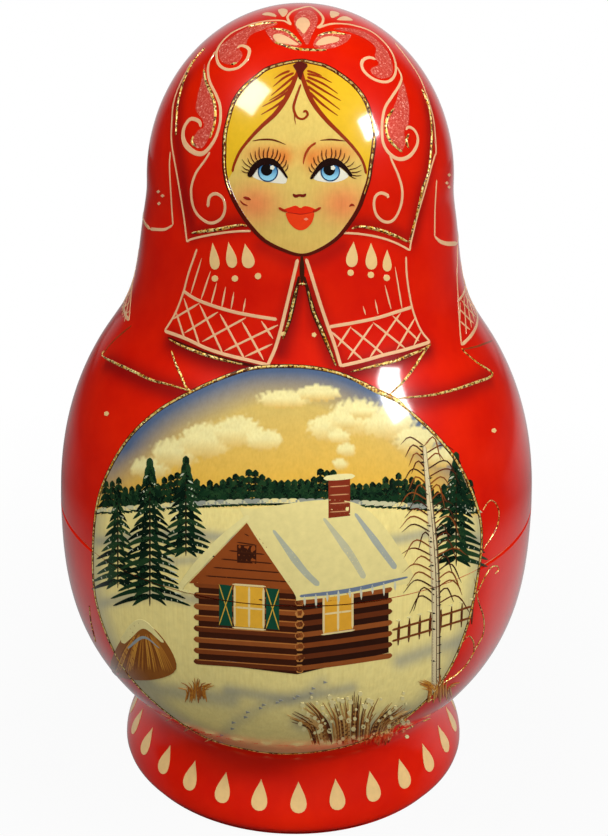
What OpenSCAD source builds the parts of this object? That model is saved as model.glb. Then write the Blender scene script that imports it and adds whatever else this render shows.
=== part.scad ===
/* [Largest doll: heights] */
// Height of the rounded edge under the foot
foot_edge_h = 3.5; // [1:0.5:6]
// Height from the table to the waist above the foot
waist_z = 23; // [18:0.5:28]
// Rise from that waist to the hip, where the belly flares most
hip_rise = 15; // [12:0.5:20]
// Rise from the hip to the widest ring of the belly
belly_rise = 48.5; // [40:0.5:60]
// Rise from the widest ring to the seam where the doll opens
seam_rise = 5.5; // [3:0.5:10]
// Rise from the widest ring to the slope of the shoulders
shoulder_rise = 60.5; // [50:0.5:70]
// Rise from the shoulders to the neck
neck_rise = 32.5; // [26:0.5:40]
// Rise from the neck to the widest ring of the head
head_rise = 11.5; // [8:0.5:16]
// Height of the rounded crown above that ring
crown_rise = 49; // [40:0.5:58]

/* [Largest doll: diameters] */
// Diameter of the flat face that the doll stands on
base_d = 99; // [92:0.5:104]
// Diameter of the foot
foot_d = 111; // [106:0.5:120]
// Diameter of the waist above the foot
waist_d = 98.5; // [94:0.5:104]
// Diameter at the hip
hip_d = 121; // [114:0.5:128]
// Diameter of the belly at its widest
belly_d = 146; // [138:0.5:156]
// Diameter at the slope of the shoulders
shoulder_d = 111; // [104:0.5:118]
// Diameter of the neck
neck_d = 91; // [86:0.5:98]
// Diameter of the head at its widest
head_d = 88; // [82:0.5:94]

/* [Outline] */
// How fast the radius grows with height at the hip
hip_slope_share = 0.71; // [0.5:0.01:0.9]
// How fast the radius shrinks with height at the shoulders
shoulder_slope_share = 0.735; // [0.5:0.005:0.9]
// How fast the radius shrinks with height at the neck
neck_slope_share = 0.156; // [0.05:0.002:0.25]

/* [Hollow] */
// Wall of the largest doll
wall_t = 6; // [4:0.1:8]
// Wall that a doll would keep if it were turned down to nothing
least_wall_t = 0.6; // [0.4:0.05:1]
// Thickness of the crown as a share of the wall
crown_wall_share = 1.35; // [1:0.05:2]
// Rise of the largest doll's floor above its waist
floor_rise = 7; // [5:0.5:12]

/* [Seam and fits] */
// Height of the largest doll's lip, on which its top sits
lip_h = 11; // [6:0.5:16]
// Radial clearance between a lip and the socket around it
lip_clearance = 0.1; // [0.05:0.01:0.2]
// Room left above the lip inside the socket
socket_room = 0.4; // [0.2:0.05:1]
// Least wall left outside the top of the socket, as a share of the wall
socket_wall_share = 0.3; // [0.25:0.01:0.4]
// Gap between the two halves at the seam
seam_gap = 0.2; // [0.1:0.05:0.4]
// Eased edge beside the seam on the largest doll
seam_ease = 0.5; // [0.2:0.05:1]
// Least play between a doll and the hollow around it
nest_play = 0.8; // [0.4:0.05:1.5]
// Film between a doll's base and the floor that it stands on
stand_gap = 0.02; // [0.01:0.01:0.1]

/* [Hidden] */
// Dolls that open, from the largest inwards, before the solid one in the middle
hollow_count = 9;
// Straight steps in each stretch of the outline, in the crown and in the foot's edge
stretch_steps = 9;
crown_steps = 22;
edge_steps = 5;
// Halvings in the search for the next doll's scale
fit_steps = 24;

hip_z = waist_z + hip_rise;
belly_z = hip_z + belly_rise;
seam_z = belly_z + seam_rise;
shoulder_z = belly_z + shoulder_rise;
neck_z = shoulder_z + neck_rise;
head_z = neck_z + head_rise;
doll_h = head_z + crown_rise;
floor_z = waist_z + floor_rise;

lacquer_red = [0.80, 0.09, 0.08];
core_red = [0.70, 0.07, 0.08];

// Stations of the largest doll's outline: height, radius and slope of the radius
stations = [
    [foot_edge_h, foot_d / 2, 0],
    [waist_z, waist_d / 2, 0],
    [hip_z, hip_d / 2, hip_slope_share],
    [belly_z, belly_d / 2, 0],
    [shoulder_z, shoulder_d / 2, -shoulder_slope_share],
    [neck_z, neck_d / 2, -neck_slope_share],
    [head_z, head_d / 2, 0]
];

// Smooth step between two stations a and b, t running from 0 to 1
function blend(a, b, t) =
    let (rise = b[0] - a[0])
    (2 * t ^ 3 - 3 * t ^ 2 + 1) * a[1] + (t ^ 3 - 2 * t ^ 2 + t) * rise * a[2]
    + (3 * t ^ 2 - 2 * t ^ 3) * b[1] + (t ^ 3 - t ^ 2) * rise * b[2];

// Radius of the stretch of outline that holds the height z, for z between the end stations
function stretch_r(z, i = 0) =
    z <= stations[i + 1][0] || i == len(stations) - 2
        ? blend(stations[i], stations[i + 1], (z - stations[i][0]) / (stations[i + 1][0] - stations[i][0]))
        : stretch_r(z, i + 1);

// Quarter of an ellipse: its radius r shrinks to nothing over the height h
function cap_r(r, h, rise) = r * sqrt(max(0, 1 - (rise / h) ^ 2));

// Radius of the largest doll at the height z
function doll_r(z) =
    z < foot_edge_h ? base_d / 2 + cap_r((foot_d - base_d) / 2, foot_edge_h, foot_edge_h - z)
    : z < head_z ? stretch_r(z)
    : cap_r(head_d / 2, crown_rise, z - head_z);

// Heights at which the outline is drawn, from the foot to the crown
outline_zs = concat(
    [for (i = [0 : edge_steps - 1]) foot_edge_h * (1 - cos(90 * i / edge_steps))],
    [for (i = [0 : len(stations) - 2], k = [0 : stretch_steps - 1])
        stations[i][0] + (stations[i + 1][0] - stations[i][0]) * k / stretch_steps],
    [for (i = [0 : crown_steps]) head_z + crown_rise * sin(90 * i / crown_steps)]
);

// Wall of a doll whose scale is s
function wall(s) = least_wall_t + (wall_t - least_wall_t) * s;
function crown_wall(s) = wall(s) * crown_wall_share;

// Radius of the hollow of a doll of scale s at the height z
function hollow_r(s, z) =
    z < head_z * s ? doll_r(z / s) * s - wall(s)
    : cap_r(head_d / 2 * s - wall(s), crown_rise * s - crown_wall(s), z - head_z * s);

// Whether a doll of scale t stands in the hollow of a doll of scale s with its play all round
function nests(s, t) =
    min([for (z = outline_zs) hollow_r(s, floor_z * s + z * t + nest_play) - doll_r(z) * t]) >= nest_play;

// Scale of the doll that goes into a doll of scale s, found by halving
function next_scale(s, low = 0, high = 1, steps = fit_steps) =
    steps == 0 ? s * low
    : nests(s, s * (low + high) / 2) ? next_scale(s, (low + high) / 2, high, steps - 1)
    : next_scale(s, low, (low + high) / 2, steps - 1);

function grow(list, count) = len(list) == count ? list : grow(concat(list, next_scale(list[len(list) - 1])), count);

// Scale of each doll, and the height of the floor that it stands on
scales = grow([1], hollow_count + 1);
function stand_z(k) = k == 0 ? 0 : stand_z(k - 1) + floor_z * scales[k - 1] + stand_gap;

// Points of a doll's outline and of its hollow, from one height up to just short of another
function outline(s, from_z, to_z) = concat(
    [[doll_r(from_z) * s, from_z * s]],
    [for (z = outline_zs) if (z > from_z && z < to_z) [doll_r(z) * s, z * s]]
);
function hollow(s, from_z, to_z) = concat(
    [[hollow_r(s, from_z), from_z]],
    [for (z = outline_zs) if (z * s > from_z && z * s < to_z) [hollow_r(s, z * s), z * s]]
);
function backwards(list) = [for (i = [len(list) - 1 : -1 : 0]) list[i]];

// Sizes at the seam of a doll of scale s
function lip_top(s) = (seam_z + lip_h) * s;
function socket_r(s) =
    min(doll_r(seam_z) * s - wall(s) / 2, doll_r(seam_z + lip_h) * s - wall(s) * socket_wall_share);
function lip_r(s) = socket_r(s) - lip_clearance;

// Lower half: solid foot, hollow belly and the lip that the top half sits on
module doll_bottom(k) {
    s = scales[k];
    seam = seam_z * s;
    ease = seam_ease * s;
    rim_r = doll_r(seam_z) * s;
    eased_z = seam_z - seam_ease;
    lip_in_r = hollow_r(s, seam);
    color(lacquer_red)
        translate([0, 0, stand_z(k)])
            rotate_extrude()
                polygon(concat(
                    [[0, 0]],
                    outline(s, 0, eased_z),
                    [[doll_r(eased_z) * s, eased_z * s], [rim_r - ease, seam]],
                    [[lip_r(s), seam], [lip_r(s), lip_top(s)], [lip_in_r, lip_top(s)], [lip_in_r, seam]],
                    backwards(hollow(s, floor_z * s, seam)),
                    [[0, floor_z * s]]
                ));
}

// Upper half: shoulders and head, with the socket that drops over the lip
module doll_top(k) {
    s = scales[k];
    rim = seam_z * s + seam_gap;
    ease = seam_ease * s;
    rim_r = doll_r(seam_z) * s;
    socket_top = lip_top(s) + socket_room;
    hollow_top = doll_h * s - crown_wall(s);
    color(lacquer_red)
        translate([0, 0, stand_z(k)])
            rotate_extrude()
                polygon(concat(
                    [[rim_r - ease, rim]],
                    outline(s, rim / s + seam_ease, doll_h),
                    [[0, doll_h * s], [0, hollow_top]],
                    backwards(hollow(s, socket_top, hollow_top)),
                    [[socket_r(s), socket_top], [socket_r(s), rim]]
                ));
}

// Solid doll in the middle
module doll_core(k) {
    s = scales[k];
    color(core_red)
        translate([0, 0, stand_z(k)])
            rotate_extrude()
                polygon(concat([[0, 0]], outline(s, 0, doll_h), [[0, doll_h * s]]));
}

function bottom_name(k) = str("doll_", k + 1, "_bottom");
function top_name(k) = str("doll_", k + 1, "_top");
core_name = str("doll_", hollow_count + 1, "_core");

for (k = [0 : hollow_count - 1]) {
    doll_bottom(k);
    doll_top(k);
}
doll_core(hollow_count);
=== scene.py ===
import math
import random

import bmesh
import bpy
import numpy as np
from mathutils import Euler, Matrix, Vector
from mathutils.geometry import delaunay_2d_cdt


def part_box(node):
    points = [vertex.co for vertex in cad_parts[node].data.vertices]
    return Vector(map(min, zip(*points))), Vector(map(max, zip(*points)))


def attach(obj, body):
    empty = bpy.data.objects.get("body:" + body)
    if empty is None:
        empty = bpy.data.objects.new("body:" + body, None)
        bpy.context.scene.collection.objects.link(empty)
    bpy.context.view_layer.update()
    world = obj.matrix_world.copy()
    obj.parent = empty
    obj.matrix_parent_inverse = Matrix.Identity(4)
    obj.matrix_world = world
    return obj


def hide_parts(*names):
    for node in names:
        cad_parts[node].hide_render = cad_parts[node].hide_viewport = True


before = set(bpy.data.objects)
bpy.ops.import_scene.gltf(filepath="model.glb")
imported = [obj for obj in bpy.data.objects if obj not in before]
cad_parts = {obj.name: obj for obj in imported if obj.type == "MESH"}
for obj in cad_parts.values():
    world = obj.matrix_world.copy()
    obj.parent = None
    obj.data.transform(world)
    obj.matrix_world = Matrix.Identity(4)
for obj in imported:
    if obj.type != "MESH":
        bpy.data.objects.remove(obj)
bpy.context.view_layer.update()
bpy.ops.object.select_all(action="DESELECT")
mm = 0.001
hollowDolls = sum(name.endswith("_top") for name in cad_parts)
print("frame loaded:", len(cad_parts), "turned pieces,", hollowDolls, "dolls that open")


# colours are given as the eye reads them, 0 to 255, and made linear here
def paint(red, green, blue):
    def linear(c):
        c = c / 255
        return c / 12.92 if c <= 0.04045 else ((c + 0.055) / 1.055) ** 2.4
    return (linear(red), linear(green), linear(blue), 1.0)


paintBox = {
    "burgundy": paint(96, 6, 12),
    "cream": paint(240, 190, 142),
    "ivory": paint(243, 203, 136),
    "darkBrown": paint(62, 28, 12),
    "black": paint(22, 16, 14),
    "white": paint(236, 232, 210),
    "skin": paint(232, 202, 106),
    "blush": paint(250, 132, 80),
    "eyeShade": paint(232, 118, 40),
    # painted shade on the lower face, darker towards the chin
    "chinPaintedShade": paint(204, 140, 60),
    "hair": paint(236, 188, 34),
    "hairShade": paint(196, 110, 30),
    "strand": paint(150, 46, 12),
    "partingShade": paint(92, 24, 16),
    "faceRim": paint(88, 22, 10),
    "irisRim": paint(34, 66, 104),
    "irisTop": paint(54, 118, 172),
    "irisFoot": paint(150, 214, 236),
    "lid": paint(34, 14, 10),
    "lash": paint(78, 26, 12),
    "brow": paint(104, 40, 18),
    "noseBridge": paint(166, 58, 22),
    "nose": paint(120, 28, 18),
    "upperLip": paint(238, 46, 14),
    "lowerLip": paint(250, 66, 22),
    "mouth": paint(190, 34, 16),
    "mouthEnds": paint(176, 40, 16),
    "lipShine": paint(250, 150, 116),
    "cheekMarks": paint(150, 34, 20),
    "hemShade": paint(70, 14, 6),
    "cuffs": paint(150, 66, 24),
}


# Node groups shared by the finishes

def addNode(tree, kind, **settings):
    node = tree.nodes.new(kind)
    for name, value in settings.items():
        setattr(node, name, value)
    return node


def feed(tree, value, socket):    # a socket is linked, a plain value is set
    if isinstance(value, bpy.types.NodeSocket):
        tree.links.new(value, socket)
    else:
        socket.default_value = value


def startGroup(name, inputs, outputs):
    group = bpy.data.node_groups.new(name, "ShaderNodeTree")
    for label, kind, value in inputs:
        socket = group.interface.new_socket(label, in_out="INPUT", socket_type=kind)
        if value is not None:
            socket.default_value = value
    for label in outputs:
        group.interface.new_socket(label, in_out="OUTPUT", socket_type="NodeSocketFloat")
    return group, addNode(group, "NodeGroupInput"), addNode(group, "NodeGroupOutput")


def makeNoiseGroup(name, scale, detail, roughness=0.5, stretch=None):
    group, given, out = startGroup(
        name, [("Vector", "NodeSocketVector", None), ("Scale", "NodeSocketFloat", scale)], ["Fac"])
    noise = addNode(group, "ShaderNodeTexNoise")
    noise.inputs["Detail"].default_value = detail
    noise.inputs["Roughness"].default_value = roughness
    place = given.outputs["Vector"]
    if stretch:
        mapping = addNode(group, "ShaderNodeMapping")
        mapping.inputs["Scale"].default_value = stretch
        group.links.new(place, mapping.inputs["Vector"])
        place = mapping.outputs["Vector"]
    group.links.new(place, noise.inputs["Vector"])
    group.links.new(given.outputs["Scale"], noise.inputs["Scale"])
    group.links.new(noise.outputs["Fac"], out.inputs["Fac"])
    return group


def makeGlitter():    # flakes, each with its own brightness
    group, given, out = startGroup(
        "glitter", [("Vector", "NodeSocketVector", None), ("Scale", "NodeSocketFloat", 3000.0)],
        ["Flake", "Height"])
    flakes = addNode(group, "ShaderNodeTexVoronoi", feature="F1")
    split = addNode(group, "ShaderNodeSeparateColor")
    group.links.new(given.outputs["Vector"], flakes.inputs["Vector"])
    group.links.new(given.outputs["Scale"], flakes.inputs["Scale"])
    group.links.new(flakes.outputs["Color"], split.inputs["Color"])
    group.links.new(split.outputs["Red"], out.inputs["Flake"])
    group.links.new(split.outputs["Green"], out.inputs["Height"])
    return group


brushTone = makeNoiseGroup("brushTone", 200.0, 4, 0.6)    # unevenness of hand-laid paint
lindenGrain = makeNoiseGroup("lindenGrain", 900.0, 3, stretch=(1, 1, 0.035))    # upright streaks
glitter = makeGlitter()


# Finishes

varnish = {"roughness": 0.1, "sheen": 0.5, "dulling": 0.42}    # dulling: sheen lost under a full coat


def startFinish(name, roughness, coat=1.0):
    material = bpy.data.materials.new(name)
    material.use_nodes = True
    tree = material.node_tree
    shader = tree.nodes["Principled BSDF"]
    for label, value in (("Roughness", roughness), ("Coat Weight", coat),
                         ("Coat Roughness", varnish["roughness"]),
                         ("Specular IOR Level", varnish["sheen"] - varnish["dulling"] * coat)):
        shader.inputs[label].default_value = value
    place = addNode(tree, "ShaderNodeTexCoord").outputs["Object"]
    return material, tree, shader, place


def useGroup(tree, group, place, scale):
    node = addNode(tree, "ShaderNodeGroup", node_tree=group)
    node.inputs["Scale"].default_value = scale
    tree.links.new(place, node.inputs["Vector"])
    return node


def rampOf(tree, factor, stops):
    node = addNode(tree, "ShaderNodeValToRGB")
    elements = node.color_ramp.elements
    while len(elements) < len(stops):
        elements.new(0.5)
    for element, (at, colour) in zip(elements, stops):
        element.position = at
        element.color = colour
    tree.links.new(factor, node.inputs["Fac"])
    return node.outputs["Color"]


def mixColour(tree, factor, first, second, blend="MIX"):
    node = addNode(tree, "ShaderNodeMix", data_type="RGBA", blend_type=blend)
    for value, number in ((factor, 0), (first, 6), (second, 7)):
        feed(tree, value, node.inputs[number])
    return node.outputs[2]


def bumpFrom(tree, shader, height, strength, distance):
    bump = addNode(tree, "ShaderNodeBump")
    bump.inputs["Strength"].default_value = strength
    bump.inputs["Distance"].default_value = distance
    tree.links.new(height, bump.inputs["Height"])
    tree.links.new(bump.outputs["Normal"], shader.inputs["Normal"])


lacquer = {
    "roughness": 0.3, "toneScale": 60, "ripple": 0.05, "rippleDepth": 0.0006,
    "tones": [(0.3, paint(210, 18, 0)), (0.7, paint(226, 30, 0))],
}


def makeRedLacquer():    # scarlet lacquer with burgundy blown on along the edges of the shawls
    material, tree, shader, place = startFinish("red_lacquer", lacquer["roughness"])
    blown = addNode(tree, "ShaderNodeAttribute", attribute_name="airbrush").outputs["Fac"]
    tone = useGroup(tree, brushTone, place, lacquer["toneScale"]).outputs["Fac"]
    scarlet = rampOf(tree, tone, lacquer["tones"])
    colour = mixColour(tree, blown, scarlet, paintBox["burgundy"])
    tree.links.new(colour, shader.inputs["Base Color"])
    bumpFrom(tree, shader, tone, lacquer["ripple"], lacquer["rippleDepth"])
    return material


linden = {
    "roughness": 0.62, "grainScale": 700, "grain": 0.25, "grainDepth": 0.0002,
    "tones": [(0.3, paint(196, 158, 108)), (0.7, paint(226, 194, 146))],
}


def makeLindenWood():    # bare turned wood inside the shells
    material, tree, shader, place = startFinish("linden_wood", linden["roughness"], coat=0.0)
    grain = useGroup(tree, lindenGrain, place, linden["grainScale"]).outputs["Fac"]
    tree.links.new(rampOf(tree, grain, linden["tones"]), shader.inputs["Base Color"])
    bumpFrom(tree, shader, grain, linden["grain"], linden["grainDepth"])
    return material


brushwork = {
    "toneScale": 420, "toneShare": 0.35, "relief": 0.12, "reliefDepth": 0.0002, "grainScale": 1900,
    "tones": [(0.3, (0.72, 0.72, 0.72, 1)), (0.7, (1, 1, 1, 1))],
    "streaks": [(0.3, paint(214, 190, 140)), (0.6, (1, 1, 1, 1))],
}


def makeTintPaint(name, grainAmount, roughness=0.32):    # opaque colour from the brush, under varnish
    material, tree, shader, place = startFinish(name, roughness)
    tint = addNode(tree, "ShaderNodeAttribute", attribute_name="tint").outputs["Color"]
    tone = useGroup(tree, brushTone, place, brushwork["toneScale"]).outputs["Fac"]
    colour = mixColour(tree, brushwork["toneShare"], tint, rampOf(tree, tone, brushwork["tones"]),
                       blend="MULTIPLY")
    if grainAmount:
        grain = useGroup(tree, lindenGrain, place, brushwork["grainScale"]).outputs["Fac"]
        streak = rampOf(tree, grain, brushwork["streaks"])
        colour = mixColour(tree, grainAmount, colour, streak, blend="MULTIPLY")
    tree.links.new(colour, shader.inputs["Base Color"])
    bumpFrom(tree, shader, tone, brushwork["relief"], brushwork["reliefDepth"])
    return material


goldLine = {    # relief line with dark gaps between its flakes
    "roughness": 0.34, "coat": 0.2, "metallic": 0.3, "flakes": 2000, "relief": 0.8, "reliefDepth": 0.00016,
    "tones": [(0.0, paint(70, 32, 4)), (0.3, paint(132, 72, 10)), (0.4, paint(238, 172, 22)),
              (1.0, paint(255, 248, 170))],
}
roseShimmer = {    # glitter laid thinly over the red
    "roughness": 0.35, "coat": 1.0, "metallic": 0.1, "flakes": 2600, "relief": 0.4, "reliefDepth": 0.00008,
    "tones": [(0.0, paint(206, 58, 46)), (0.55, paint(216, 82, 66)), (0.9, paint(228, 112, 94)),
              (1.0, paint(246, 170, 152))],
}


def makeFlakes(name, look):
    material, tree, shader, place = startFinish(name, look["roughness"], look["coat"])
    flakes = useGroup(tree, glitter, place, look["flakes"])
    tree.links.new(rampOf(tree, flakes.outputs["Flake"], look["tones"]), shader.inputs["Base Color"])
    shader.inputs["Metallic"].default_value = look["metallic"]
    bumpFrom(tree, shader, flakes.outputs["Height"], look["relief"], look["reliefDepth"])
    return material


redLacquer = makeRedLacquer()
lindenWood = makeLindenWood()
goldGlitter = makeFlakes("gold_glitter", goldLine)
pinkShimmer = makeFlakes("pink_shimmer", roseShimmer)
brushPaint = makeTintPaint("brush_paint", 0.0)
creamPaint = makeTintPaint("cream_paint", 0.0, roughness=0.4)
woodPaint = makeTintPaint("wood_paint", 0.16)
print("finishes mixed:", len(bpy.data.materials))


# Turned shapes: the section of each CAD piece, smoothed and turned again

tiny = 1e-7       # metres: nearer points are one
cutReach = 1e-8


def allOf(bm):
    return bm.verts[:] + bm.edges[:] + bm.faces[:]


def sectionOf(name):    # points (radius, height) from the axis, round the piece and back to the axis, in mm
    bm = bmesh.new()
    bm.from_mesh(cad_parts[name].data)
    bmesh.ops.remove_doubles(bm, verts=bm.verts, dist=tiny)
    bmesh.ops.bisect_plane(bm, geom=allOf(bm), dist=cutReach, plane_co=(0, 0, 0), plane_no=(1, 0, 0),
                           clear_inner=True)
    cut = bmesh.ops.bisect_plane(bm, geom=allOf(bm), dist=cutReach, plane_co=(0, 0, 0),
                                 plane_no=(0, 1, 0))["geom_cut"]
    edges = [e for e in cut if isinstance(e, bmesh.types.BMEdge)
             and min(v.co.x for v in e.verts) > -tiny and max(v.co.x for v in e.verts) > tiny]
    links = {}
    for e in edges:
        first, second = e.verts
        links.setdefault(first, []).append(second)
        links.setdefault(second, []).append(first)
    ends = sorted((v for v in links if abs(v.co.x) < tiny), key=lambda v: v.co.z)
    walk = [ends[0]]
    seen = {ends[0]}
    while True:
        onward = [w for w in links[walk[-1]] if w not in seen]
        if not onward:
            break
        walk.append(onward[0])
        seen.add(onward[0])
    points = np.array([(max(v.co.x, 0), v.co.z) for v in walk]) / mm
    bm.free()
    return points


straightTurn = 2e-3    # sine of the turn below which a run counts as straight


def straightened(points, least=1e-3):    # drops doubled points and points on a straight run
    keep = [points[0]]
    for here, after in zip(points[1:-1], points[2:]):
        back, on = here - keep[-1], after - here
        if np.hypot(*back) < least or np.hypot(*on) < least:
            continue
        turn = abs(back[0] * on[1] - back[1] * on[0]) / (np.hypot(*back) * np.hypot(*on))
        if turn > straightTurn or back @ on < 0:
            keep.append(here)
    keep.append(points[-1])
    return np.array(keep)


def evenly(points, step, closed=False):
    run = np.r_[0, np.cumsum(np.hypot(*np.diff(points, axis=0).T[:2]))]
    count = max(3, int(round(run[-1] / step)) + 1)
    at = np.linspace(0, run[-1], count)
    even = np.column_stack([np.interp(at, run, column) for column in points.T])
    return even[:-1] if closed else even


curveSteps = 10    # between two given points


def smoothPath(points, step, closed=False):    # a soft curve through the points
    p = np.array(points, float)
    if closed:
        reach = np.vstack([p[-1:], p, p[:2]])
    else:
        reach = np.vstack([2 * p[:1] - p[1:2], p, 2 * p[-1:] - p[-2:-1]])
    t = np.linspace(0, 1, curveSteps, endpoint=False)[:, None]
    bends = [0.5 * (2 * b + (c - a) * t + (2 * a - 5 * b + 4 * c - d) * t ** 2
                    + (3 * b - a - 3 * c + d) * t ** 3)
             for a, b, c, d in zip(reach, reach[1:], reach[2:], reach[3:])]
    bends.append(p[:1] if closed else p[-1:])
    return evenly(np.vstack(bends), step, closed)


cornerAngle = math.radians(24)


def smoothSection(points, step):    # curves between the corners, corners kept
    way = np.diff(points, axis=0)
    heading = np.unwrap(np.arctan2(way[:, 1], way[:, 0]))
    corners = [0] + [i + 1 for i, turn in enumerate(np.abs(np.diff(heading))) if turn > cornerAngle]
    corners.append(len(points) - 1)
    stretches = []
    for a, b in zip(corners, corners[1:]):
        stretch = points[a:b + 1]
        soft = smoothPath(stretch, step) if len(stretch) > 3 else stretch
        stretches.append(soft[:-1])
    return np.vstack(stretches + [points[-1:]])


def dollName(k, part):
    return f"doll_{k}_{part}"


outline = {"step": 0.6, "levels": 900, "seamGap": 0.2, "seamGuard": 1.2}    # mm, and a count of levels
bottomSection, topSection = (smoothSection(straightened(sectionOf(dollName(1, part))), outline["step"])
                             for part in ("bottom", "top"))
dollHeight = topSection[:, 1].max()
seamHigh = topSection[:, 1].min()
seamLow = seamHigh - outline["seamGap"]


def widestAt(section, z):
    a, b = section[:-1], section[1:]
    crosses = (a[:, 1] - z) * (b[:, 1] - z) <= 0
    a, b = a[crosses], b[crosses]
    rise = b[:, 1] - a[:, 1]
    share = np.where(np.abs(rise) > 1e-9, (z - a[:, 1]) / (rise + 1e-12), 0)
    return (a[:, 0] + share * (b[:, 0] - a[:, 0])).max()


# the outline as one run of heights and radii, closer together towards the crown
outlineZ = []
outlineR = []
for level in dollHeight * np.sin(np.linspace(0, math.pi / 2, outline["levels"])):
    if abs(level - seamHigh) > outline["seamGuard"] and level < dollHeight:
        outlineZ.append(level)
        outlineR.append(widestAt(bottomSection if level < seamLow else topSection, level))
outlineZ = np.array(outlineZ + [dollHeight])
outlineR = np.array(outlineR + [0.0])
leanR = np.gradient(outlineR)
leanZ = np.gradient(outlineZ)
leanLength = np.hypot(leanR, leanZ)
outlineNormalR = leanZ / leanLength
outlineNormalZ = -leanR / leanLength
print("outline read from the frame: height", round(dollHeight, 1), "seam", round(seamHigh, 1))


def radiusAt(z):
    return np.interp(z, outlineZ, outlineR)


def normalAt(place):
    across = np.interp(place[:, 2], outlineZ, outlineNormalR)
    up = np.interp(place[:, 2], outlineZ, outlineNormalZ)
    reach = np.maximum(np.hypot(place[:, 0], place[:, 1]), 1e-6)
    normal = np.column_stack([place[:, 0] / reach * across, place[:, 1] / reach * across, up])
    return normal / np.linalg.norm(normal, axis=1, keepdims=True)


# The photograph's eye: pixels of the 608 by 836 picture onto the turned surface

eye = {
    "lens": 69.14,        # mm
    "sensor": 36,         # mm along the picture's height
    "back": 450.1,        # mm in front of the doll's axis
    "height": 315.6,      # mm above the table
    "pitch": 23.97,       # degrees down
    "roll": 0.727,        # degrees
    "axisPixel": 297.26,  # where the doll's axis crosses the middle row
    "picture": (608, 836),
    "depths": (300, 680, 200),    # nearest, farthest and count of tries along a ray
    "halvings": 22,
}
pixelsPerSlope = eye["lens"] / eye["sensor"] * eye["picture"][1]
eyePlace = np.array([0, -eye["back"], eye["height"]])


def rayOf(pixels):
    roll, pitch = math.radians(-eye["roll"]), math.radians(eye["pitch"])
    right = pixels[:, 0] - eye["axisPixel"]
    down = pixels[:, 1] - eye["picture"][1] / 2
    x = (math.cos(roll) * right - math.sin(roll) * down) / pixelsPerSlope
    y = (math.sin(roll) * right + math.cos(roll) * down) / pixelsPerSlope
    return np.column_stack([x, math.cos(pitch) - y * math.sin(pitch),
                            -math.sin(pitch) - y * math.cos(pitch)])


def photoPlace(pixels):    # first place where the eye's ray meets the doll
    ray = rayOf(np.asarray(pixels, float))

    def outside(depth):
        place = eyePlace + ray * depth[:, None]
        return np.hypot(place[:, 0], place[:, 1]) - radiusAt(place[:, 2])
    depths = np.linspace(*eye["depths"])
    gaps = np.column_stack([outside(np.full(len(ray), d)) for d in depths])
    inside = gaps < 0
    first = np.where(inside.any(axis=1), inside.argmax(axis=1), gaps.argmin(axis=1))
    near, far = depths[np.maximum(first - 1, 0)], depths[first]
    for _ in range(eye["halvings"]):
        middle = (near + far) / 2
        free = outside(middle) > 0
        near, far = np.where(free, middle, near), np.where(free, far, middle)
    return ontoSurface(eyePlace + ray * far[:, None])


def turnedPlace(points):    # (degrees round from the front, height in mm)
    points = np.asarray(points, float)
    turn = np.radians(points[:, 0])
    radius = radiusAt(points[:, 1])
    return np.column_stack([radius * np.sin(turn), -radius * np.cos(turn), points[:, 1]])


def placeOn(points, plane):
    return photoPlace(points) if plane == "photo" else turnedPlace(points)


# Paint meshes: strokes and fills gathered in pots, one pot for each kind of paint on the doll

pots = {}
detail = {"step": 1.0, "lift": 1.0}
sinkDepth = 0.12        # mm that paint reaches into the wood
turnedStep = 0.3        # mm on the turned surface for a pixel of the photograph
wideStroke = 1.2        # mm, past which a stroke gets a middle row
taperStops = [0, 0.35, 0.65, 1]
leastTip = 0.03
rowShare, edgeShare = 0.87, 0.45    # of a fill's step: between rows, and clear of its edge


def pour(name, verts, faces, colour):
    pot = pots.setdefault(name, {"verts": [], "faces": [], "tints": [], "count": 0})
    start = pot["count"]
    pot["verts"].append(verts)
    pot["faces"].extend([tuple(i + start for i in face) for face in faces])
    tint = np.asarray(colour, float)
    pot["tints"].append(np.broadcast_to(tint[:3], (len(verts), 3)) if tint.ndim == 1 else tint[:, :3])
    pot["count"] += len(verts)


flatSection = [(-1, 0), (-0.74, 1), (0.74, 1), (1, 0)]
wideSection = [(-1, 0), (-0.8, 1), (0, 1), (0.8, 1), (1, 0)]
beadSection = [(-1, 0), (-0.72, 0.62), (0, 1), (0.72, 0.62), (1, 0)]


def ontoSurface(place):
    share = radiusAt(place[:, 2]) / np.maximum(np.hypot(place[:, 0], place[:, 1]), 1e-6)
    return place * np.column_stack([share, share, np.ones(len(place))])


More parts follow.
